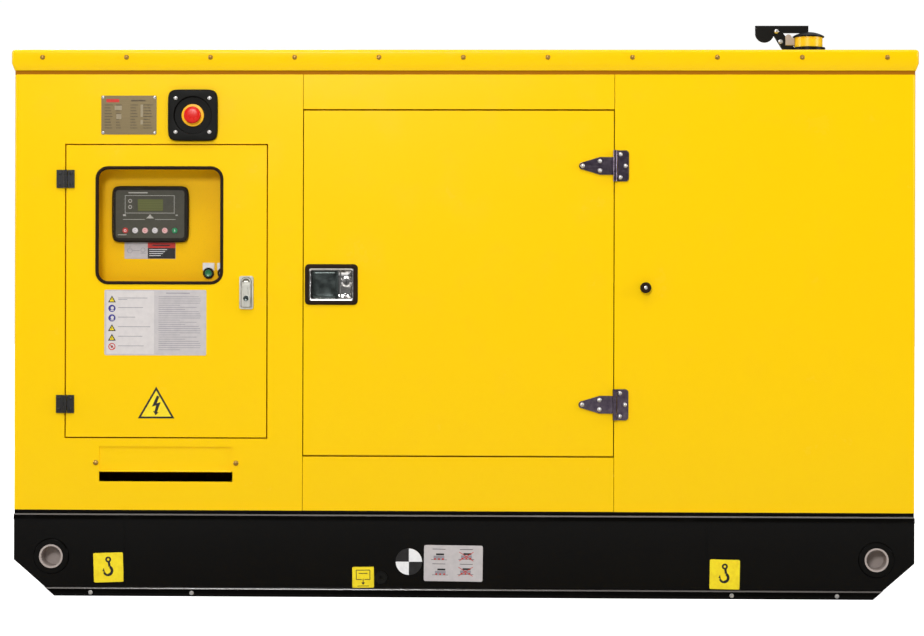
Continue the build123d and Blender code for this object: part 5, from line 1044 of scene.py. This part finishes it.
def squared_skin(shape, middle, rims, segments, capped=False):
    """A skin through upright rims of (reach X, reach Z, power X, power Z, Y).

    A power of 2 makes a rim round, and a higher one squares it.
    """
    loops = []
    for place, (reach_x, reach_z, power_x, power_z, y) in enumerate(rims):
        fill = capped and place == len(rims) - 1
        made = bmesh.ops.create_circle(shape, cap_ends=fill, segments=segments, radius=1)["verts"]
        for vert in made:
            turn = math.atan2(vert.co.y, vert.co.x)
            across, up = math.cos(turn), math.sin(turn)
            vert.co = (
                middle.x + reach_x * math.copysign(abs(across) ** (2 / power_x), across),
                y,
                middle.z + reach_z * math.copysign(abs(up) ** (2 / power_z), up),
            )
        loops.append(list({edge for vert in made for edge in vert.link_edges}))
    for first, second in zip(loops, loops[1:]):
        bmesh.ops.bridge_loops(shape, edges=first + second)
    bmesh.ops.recalc_face_normals(shape, faces=shape.faces)


stop, stop_half = middle_of("estop_shroud")
outer_rims = ((0, 7, -500.1), (0, 7, -510), (1.2, 7, -512.4), (3.6, 6.8, -513.8))
cup_rims = (
    (54, -514),
    (52.4, -513),
    (51.4, -509),
    (50.8, -504.4),
    (31.4, -504),
    (31, -507),
    (9, -507),
)
shroud = bmesh.new()
rims = [(stop_half.x - inset, stop_half.z - inset, power, power, y) for inset, power, y in outer_rims]
rims += [(radius, radius, 2, 2, y) for radius, y in cup_rims]
squared_skin(shroud, stop, rims, 96)
covered = ["estop_shroud"]
finish_piece("estop_shroud_moulding", shroud, BLACK_PLASTIC, "generator", covered)
shroud_screws = bmesh.new()
for dx, dz in ((-47, -47), (-47, 47), (47, -47), (47, 47)):
    head = [(5.2, -0.4), (5, 0.9), (3.8, 1.9), (1.8, 2.4), (0, 2.5)]
    add_turned(shroud_screws, (stop.x + dx, stop.y - stop_half.y, stop.z + dz), head, steps=24)
finish_piece("estop_shroud_screws", shroud_screws, ZINC, "generator")
YELLOW_PLASTIC = vinyl("yellow_plastic", srgb(250, 190, 10), srgb(238, 172, 8), 0.3)
ring = bmesh.new()
section = [(11, 0), (31, 0), (31, 0.4), (29.6, 1), (24, 1.4), (11, 1.4), (11, 0)]
add_turned(ring, (stop.x, -507, stop.z), section, steps=64)
bmesh.ops.recalc_face_normals(ring, faces=ring.faces)
finish_piece("estop_yellow_ring", ring, YELLOW_PLASTIC, "generator")
RED_PLASTIC = grained(
    "red_gloss_plastic",
    (16, 3),
    (srgb(206, 18, 10), srgb(222, 34, 18)),
    (0.22, 0.12),
    0.05,
    Specular_IOR_Level=0.3,
)
mushroom = bmesh.new()
stem = [(8, -20), (8, -6)]
dome = [(20, -6), (22.6, -4.6), (23.4, -2), (23.4, 0.4), (22.4, 2.6), (19.8, 4.6), (14, 5.6), (0, 6)]
button_y = box_mm("estop_button")[0].y
add_turned(mushroom, (stop.x, button_y + 6, stop.z), stem + dome, steps=64)
bmesh.ops.recalc_face_normals(mushroom, faces=mushroom.faces)
finish_piece("estop_mushroom", mushroom, RED_PLASTIC, "estop_button", ["estop_button"])

eased_part("cable_shutter_sheet", "cable_shutter", YELLOW_COAT, "cable_shutter", 0.8)
clamp_screws = bmesh.new()
for screw_x in (-1020.5, -629.5):
    head = [(7.4, 0), (7.3, 1.4), (6, 3.4), (3.6, 4.9), (0, 5.4)]
    add_turned(clamp_screws, (screw_x, FRONT_FACE, 371), head, steps=28)
finish_piece("shutter_clamp_screws", clamp_screws, PASSIVATED, "generator")

# --- Control cabinet and set controller ---
# The panel is satin yellow sheet. The controller is a dark moulded case with a
# small display, a mimic line and six round keys.

PANEL_COAT = powder_coat("satin_panel_coat", (0.97, 0.56, 0.001, 1), (0.95, 0.5, 0.0015, 1), 0.34, 0.1)
eased_part("cabinet_sheet", "control_cabinet", PANEL_COAT, "generator", 0.6)

CASE = grained(
    "dark_olive_moulding",
    (1.2, 3, 0.6),
    (srgb(26, 21, 15), srgb(36, 30, 22)),
    (0.45, 0.18),
    0.04,
    cloud=(40, 3),
    Specular_IOR_Level=0.15,
)
set_case, case_half = middle_of("controller")
case_low, case_high = box_mm("controller")
steps = (
    (0, -429.8),
    (0, case_low.y + 4),
    (1, case_low.y + 1.6),
    (3.2, case_low.y + 0.2),
    (5, case_low.y),
    (8, case_low.y),
    (9.2, case_low.y + 0.7),
    (10.2, case_low.y + 0.7),
)
case = bmesh.new()
rims = [(case_half.x - inset, case_half.z - inset, 15, 7, y) for inset, y in steps]
squared_skin(case, set_case, rims, 128, capped=True)
box_inset = 14
back_low = (case_low.x + box_inset, -427, case_low.z + box_inset)
back_high = (case_high.x - box_inset, case_high.y, case_high.z - box_inset)
add_block(case, back_low, back_high, 1)
finish_piece("controller_case_moulding", case, CASE, "generator", ["controller"])
DISPLAY = Finish("grey_green_display", Specular_IOR_Level=0.5)
display_z = DISPLAY.along()[2]
dots = DISPLAY.node("Math", {"operation": "PINGPONG"}, {0: display_z, 1: 3.4}) < 0.9
DISPLAY.set(
    Base_Color=DISPLAY.blend(dots * 0.35, srgb(96, 100, 52), srgb(70, 74, 42)),
    Roughness=0.18 + DISPLAY.noise(12) * 0.1,
)
LINE_INK = vinyl("pale_print", srgb(178, 176, 166), srgb(160, 158, 150))
DARK_FACE = vinyl("dark_face", srgb(62, 60, 48), srgb(70, 68, 55))
front = Label(set_case.x, set_case.z, case_low.y + 0.8)
front.card(193, 134, 8, 2, 0, 0.4)
for start, end in (
    ((-70, 3), (68, 3)),
    ((-70, 52), (68, 52)),
    ((68, 52), (68, 1)),
    ((-70, 52), (-70, 1)),
    ((-76, -15), (-14, -15)),
    ((14, -15), (72, -15)),
):
    front.bar(start, end, 1.3, 1, 0.4)
front.card(71, 33, 2, 0, 0.4, 0.5, (1, 25))
for light_z in (37, 20):
    front.band((-56, light_z), 3.4, 5.4, 0, 360, 1, 0.4)
front.card(54, 3.2, 1, 1, 0.4, 0.1, (-34, 60))
front.bar((-76, -3), (-68, -3), 5, 1, 0.4)
front.bar((72, -3), (78, -3), 3, 1, 0.4)
front.polygon([(-11, -12), (11, -12), (5, -6), (-5, -6)], 1, 0.4)
front.disc(3, 1, (0, -4), 0.4)
front.bar((-90, -58), (-66, -58), 2, 1, 0.4)
front.done("controller_front", [DISPLAY, LINE_INK, DARK_FACE], "generator")

KEY_RED = vinyl("red_key", srgb(196, 56, 46), srgb(180, 46, 38), 0.3)
KEY_WHITE = vinyl("white_key", srgb(226, 220, 220), srgb(210, 204, 206), 0.3)
KEY_ROSE = vinyl("rose_key", srgb(232, 186, 184), srgb(218, 168, 168), 0.3)
KEY_GREEN = vinyl("green_key", srgb(24, 140, 84), srgb(18, 120, 70), 0.3)
for key_name, face_finish, sign_finish in (
    ("stop_key", KEY_RED, WHITE_VINYL),
    ("manual_key", KEY_WHITE, GREY_INK),
    ("auto_key", KEY_ROSE, RED_INK),
    ("test_key", KEY_WHITE, GREY_INK),
    ("mute_key", KEY_ROSE, RED_INK),
    ("start_key", KEY_GREEN, WHITE_VINYL),
):
    key, key_half = middle_of(key_name)
    key_y = key.y - key_half.y
    cap = bmesh.new()
    profile = [(7.9, -6), (8, 0.2), (7.6, 1.2), (6.6, 1.9), (5.6, 1.8), (0, 1.6)]
    add_turned(cap, (key.x, key_y + 2, key.z), profile, steps=40)
    finish_piece(f"{key_name}_cap", cap, face_finish, key_name, [key_name])
    sign = Label(key.x, key.z, key_y + 0.2)
    if key_name == "stop_key":
        sign.band((0, 0), 2.4, 3.6, 0, 360, 0, 0.1)
    elif key_name == "start_key":
        sign.bar((0, -3), (0, 3), 1.4, 0, 0.1)
    else:
        sign.band((0, 0), 2.6, 3.6, 20, 290, 0, 0.1)
    sign.done(f"{key_name}_sign", sign_finish, key_name)

PANEL_FACE = -430
reminder = Label(-881, 963, PANEL_FACE)
reminder.card(144, 46, 1.5, 0)
reminder.card(78, 15, 0, 1, 0.35, 0.1, (32.5, 15))
reminder.card(78, 30, 0, 2, 0.35, 0.1, (32.5, -7.6))
for row in range(4):
    reminder.bar((-2, 3 - row * 5.6), (48 - row * 6, 3 - row * 5.6), 1.6, 3, 0.46)
reminder.bar((6, 15), (56, 15), 3.4, 2, 0.46)
reminder.band((-57, 0), 6, 7.4, 120, 300, 4, 0.35)
reminder.bar((-57, 4), (-57, 13), 1.6, 4, 0.35)
reminder.bar((-49, 0), (-29, 0), 1.4, 4, 0.35)
reminder.band((-20, 2), 5.2, 6.6, 0, 360, 4, 0.35)
reminder.bar((-27, -7), (-13, -7), 1.6, 4, 0.35)
reminder.done("start_reminder", [GREY_VINYL, RED_INK, BLACK_INK, WHITE_VINYL, GREY_INK], "generator")

# --- Start button, key switch and breaker ---
# A green button and a key switch in round chrome bezels under white legends, and
# a moulded-case breaker with its toggle.

coat(CHROME, "panel_bezels")
GREEN_PLASTIC = grained(
    "green_gloss_plastic",
    (10, 3),
    (srgb(22, 116, 66), srgb(34, 136, 80)),
    (0.25, 0.1),
    0.04,
    Specular_IOR_Level=0.5,
)
start, start_half = middle_of("start_button")
start_cap = bmesh.new()
profile = [(9.7, -26), (9.7, 0), (9.2, 0.8), (7.6, 0.9), (6, 0.2), (0, 0)]
add_turned(start_cap, (start.x, start.y - start_half.y + 1, start.z), profile, steps=48)
covered = ["start_button"]
finish_piece("start_button_cap", start_cap, GREEN_PLASTIC, "start_button", covered)
coat(CHROME, "key_switch")
legends = bmesh.new()
dials = bmesh.new()
switch_x = box_mm("panel_bezels")[1].x - 15
for x in (start.x, switch_x):
    add_block(legends, (x - 16.5, PANEL_FACE - 1.2, start.z + 8), (x + 16.5, PANEL_FACE, start.z + 29), 0.4)
    rim = [(14.8, -3.9), (15.6, -3.4), (15.6, 0), (14.2, 1.6), (11, 1.4), (10.4, 0.2)]
    add_turned(dials, (x, -434, start.z), rim, steps=48)
finish_piece("button_legends", legends, WHITE_VINYL, "generator")
finish_piece("bezel_rims", dials, BLACK_PLASTIC, "generator")

BREAKER_CASE = grained(
    "breaker_moulding",
    (1.4, 3),
    (srgb(44, 45, 48), srgb(60, 61, 64)),
    (0.5, 0.15),
    0.04,
    cloud=(50,),
    Specular_IOR_Level=0.35,
)
coat(BREAKER_CASE, "main_breaker")
coat(BLACK_PLASTIC, "breaker_toggle")
breaker_face = Label(-905, 640, -438)
breaker_face.card(88, 34, 3, 0, 0, 0.5, (0, 56))
breaker_face.bar((-36, 64), (20, 64), 3, 1, 0.5)
for row in range(3):
    breaker_face.bar((-36, 56 - row * 6), (34 - row * 12, 56 - row * 6), 1.6, 1, 0.5)
breaker_face.card(88, 34, 3, 0, 0, 0.5, (0, -56))
breaker_face.bar((-20, 27), (-20, 21), 2, 0, 0, 0.4)
breaker_face.band((-20, -25), 2.6, 4.2, 0, 360, 0, 0, 0.4)
breaker_face.done("breaker_labels", [GREY_VINYL, BLACK_INK], "generator")

# --- Exhaust ---
# The silencer hangs under the roof. Its stub comes up through the roof in yellow,
# with a split clamp that carries a hinged rain cap and its counterweight. A grey
# block by the hinge is painted light.

EXHAUST = Finish("exhaust_steel", Specular_IOR_Level=0.4)
pipe_z = EXHAUST.along()[2]
painted = EXHAUST.between(pipe_z, 1490, 1500)
heat = EXHAUST.noise(70, 4, 0.6)
bare = EXHAUST.blend(heat, srgb(120, 112, 104), srgb(168, 150, 132))
EXHAUST.set(
    Base_Color=EXHAUST.blend(painted, bare, (0.93, 0.58, 0.004, 1)),
    Metallic=0.8 - painted * 0.8,
    Roughness=0.45 - painted * 0.15 + heat * 0.1,
    Normal=EXHAUST.relief(EXHAUST.noise(3, 3), 0.04),
)
coat(EXHAUST, "silencer")
CAST_BLACK = powder_coat("black_cast_coat", srgb(12, 12, 12), srgb(26, 23, 20), 0.4, 0.12)
eased_part("rain_cap_band", "rain_cap_clamp", CAST_BLACK, "generator", 0.7)
eased_part("rain_cap_flap", "rain_cap_lid", CAST_BLACK, "rain_cap_lid", 0.7)
# A satin grey block by the hinge: painted highlight, standing for the lit inner face of the black far hinge
# ear.
lit_ear_block = bmesh.new()
add_block(lit_ear_block, (946, -13, 1588), (974, 13, 1612), 3)
boss = [(0, 0), (8, 0), (9.5, 1.5), (9.5, 22.5), (8, 24), (0, 24)]
add_turned(lit_ear_block, (955, 12, 1612), boss)
finish_piece("rain_cap_ear_highlight", lit_ear_block, GREY_COAT, "generator")
cap_bolts = bmesh.new()
for end in (-1, 1):
    add_bolt(cap_bolts, (932, end * 8.3, 1600), 9, 4, (0, end, 0))
    head = [(6.6, -2), (6.6, 1.6), (5, 3), (0, 3.6)]
    add_turned(cap_bolts, (919, end * 11.3, 1630), head, (0, end, 0), 28)
finish_piece("rain_cap_bolts", cap_bolts, ZINC, "generator")

# --- Engine, alternator, radiator and battery ---
# A painted iron engine drives an alternator on the left and a belt-driven fan on
# the right, which blows through the radiator. They stand on the deck of the base.

IRON = Finish("painted_iron", Specular_IOR_Level=0.35)
sand = IRON.noise(2.2, 4, 0.7)
oil = IRON.between(IRON.noise(90, 5, 0.65), 0.52, 0.75)
IRON.set(
    Base_Color=IRON.blend(oil, srgb(66, 84, 92), srgb(40, 48, 50)),
    Roughness=0.5 - oil * 0.2 + sand * 0.1,
    Normal=IRON.relief(sand, 0.35),
)
coat(IRON, "engine_block", "cylinder_head", "alternator")
MACHINED = grained(
    "machined_steel",
    (1.2, 3, 0.6, (30, 1, 1)),
    (srgb(150, 148, 144), srgb(190, 188, 184)),
    (0.28, 0.2),
    0.02,
    Metallic=1,
)
coat(MACHINED, "crank_assembly")
coat(RED_PLASTIC, "cooling_fan")
coat(BLACK_PLASTIC, "battery")
coat(RUBBER, "fan_belt")

CORE = Finish("radiator_core", Metallic=0.3, Specular_IOR_Level=0.3)
core_y, core_z = CORE.along()[1:]
fins = CORE.node("Math", {"operation": "PINGPONG"}, {0: core_z, 1: 2.5})
tubes = CORE.node("Math", {"operation": "PINGPONG"}, {0: core_y, 1: 6})
rows = CORE.between(tubes, 0, 2)
CORE.set(
    Base_Color=CORE.blend(rows, srgb(28, 28, 28), srgb(50, 50, 50)),
    Roughness=0.5 + CORE.noise(30) * 0.2,
    Normal=CORE.relief(CORE.between(fins, 0.4, 2) * rows, 1.2),
)
coat(CORE, "radiator")

# --- Studio ---
# Plain pale floor, even white surround and soft lamps, with the camera level with
# the middle of the set and a touch to its right.

floor_mesh = bmesh.new()
bmesh.ops.create_grid(floor_mesh, x_segments=1, y_segments=1, size=60)
floor_data = bpy.data.meshes.new("studio_floor")
floor_mesh.to_mesh(floor_data)
floor_mesh.free()
studio_floor = bpy.data.objects.new("studio_floor", floor_data)
bpy.context.collection.objects.link(studio_floor)
FLOOR = Finish("pale_floor", Specular_IOR_Level=0, Roughness=1)
FLOOR.set(Base_Color=FLOOR.blend(FLOOR.noise(900), (0.5, 0.5, 0.5, 1), (0.52, 0.52, 0.52, 1)))
FLOOR.set(Emission_Color=(1, 1, 1, 1), Emission_Strength=FLOOR.node("LightPath"))
floor_data.materials.append(FLOOR.material)

world = bpy.data.worlds.new("white_surround")
world.use_nodes = True
surround_light = world.node_tree.nodes["Background"]
surround_light.inputs["Color"].default_value = (1, 1, 1, 1)
surround_tree = world.node_tree
sky_place = surround_tree.nodes.new("ShaderNodeTexCoord")
sky_parts = surround_tree.nodes.new("ShaderNodeSeparateXYZ")
ceiling = surround_tree.nodes.new("ShaderNodeMapRange")
for socket, value in ((1, 0.3), (2, 0.85), (3, 0.1), (4, 1.1)):
    ceiling.inputs[socket].default_value = value
backdrop = surround_tree.nodes.new("ShaderNodeLightPath")
level = surround_tree.nodes.new("ShaderNodeMix")
level.data_type = "FLOAT"
level.inputs[3].default_value = 1.02
surround_tree.links.new(sky_place.outputs["Generated"], sky_parts.inputs[0])
surround_tree.links.new(sky_parts.outputs[2], ceiling.inputs[0])
surround_tree.links.new(backdrop.outputs["Is Camera Ray"], level.inputs[0])
surround_tree.links.new(ceiling.outputs[0], level.inputs[2])
surround_tree.links.new(level.outputs[0], surround_light.inputs["Strength"])
bpy.context.scene.world = world


def soft_lamp(name, place, target, power, width, height):
    """A rectangular lamp aimed at a point."""
    data = bpy.data.lights.new(name, "AREA")
    data.shape = "RECTANGLE"
    data.size, data.size_y, data.energy = width, height, power
    lamp = bpy.data.objects.new(name, data)
    bpy.context.collection.objects.link(lamp)
    lamp.location = place
    lamp.rotation_euler = (Vector(target) - Vector(place)).to_track_quat("-Z", "Y").to_euler()


soft_lamp("key_lamp", (-1.3, -8.8, 4), (0, -0.5, 0.75), 325, 2, 1.6)
soft_lamp("overhead_lamp", (0, -2.6, 4.8), (0, -0.3, 0.9), 46, 4, 1.2)
soft_lamp("left_lamp", (-7, -1.2, 2.6), (-1.2, -0.2, 0.8), 110, 1.4, 2.4)
soft_lamp("right_lamp", (7, -2.2, 2.6), (1.2, -0.2, 0.8), 150, 1.4, 2.4)
soft_lamp("back_lamp", (-2.2, 8.4, 3.8), (0, 0.5, 0.75), 330, 2.4, 2)
soft_lamp("floor_lamp", (0, -3, 0.02), (0, -2.9, 3), 7.5, 4.4, 0.5)

camera_data = bpy.data.cameras.new("camera")
camera = bpy.data.objects.new("camera", camera_data)
bpy.context.collection.objects.link(camera)
azimuth = math.radians(1.2)
distance = 7
camera.location = (math.sin(azimuth) * distance, -math.cos(azimuth) * distance, 0.776)
yaw = azimuth + math.radians(0.11)
roll = math.radians(0.15)
level_view = Matrix.Rotation(yaw, 4, "Z") @ Matrix.Rotation(math.radians(90), 4, "X")
camera.rotation_euler = (level_view @ Matrix.Rotation(roll, 4, "Z")).to_euler()
camera_data.lens = 91.35
bpy.context.scene.camera = camera
bpy.context.scene.view_settings.view_transform = "Standard"
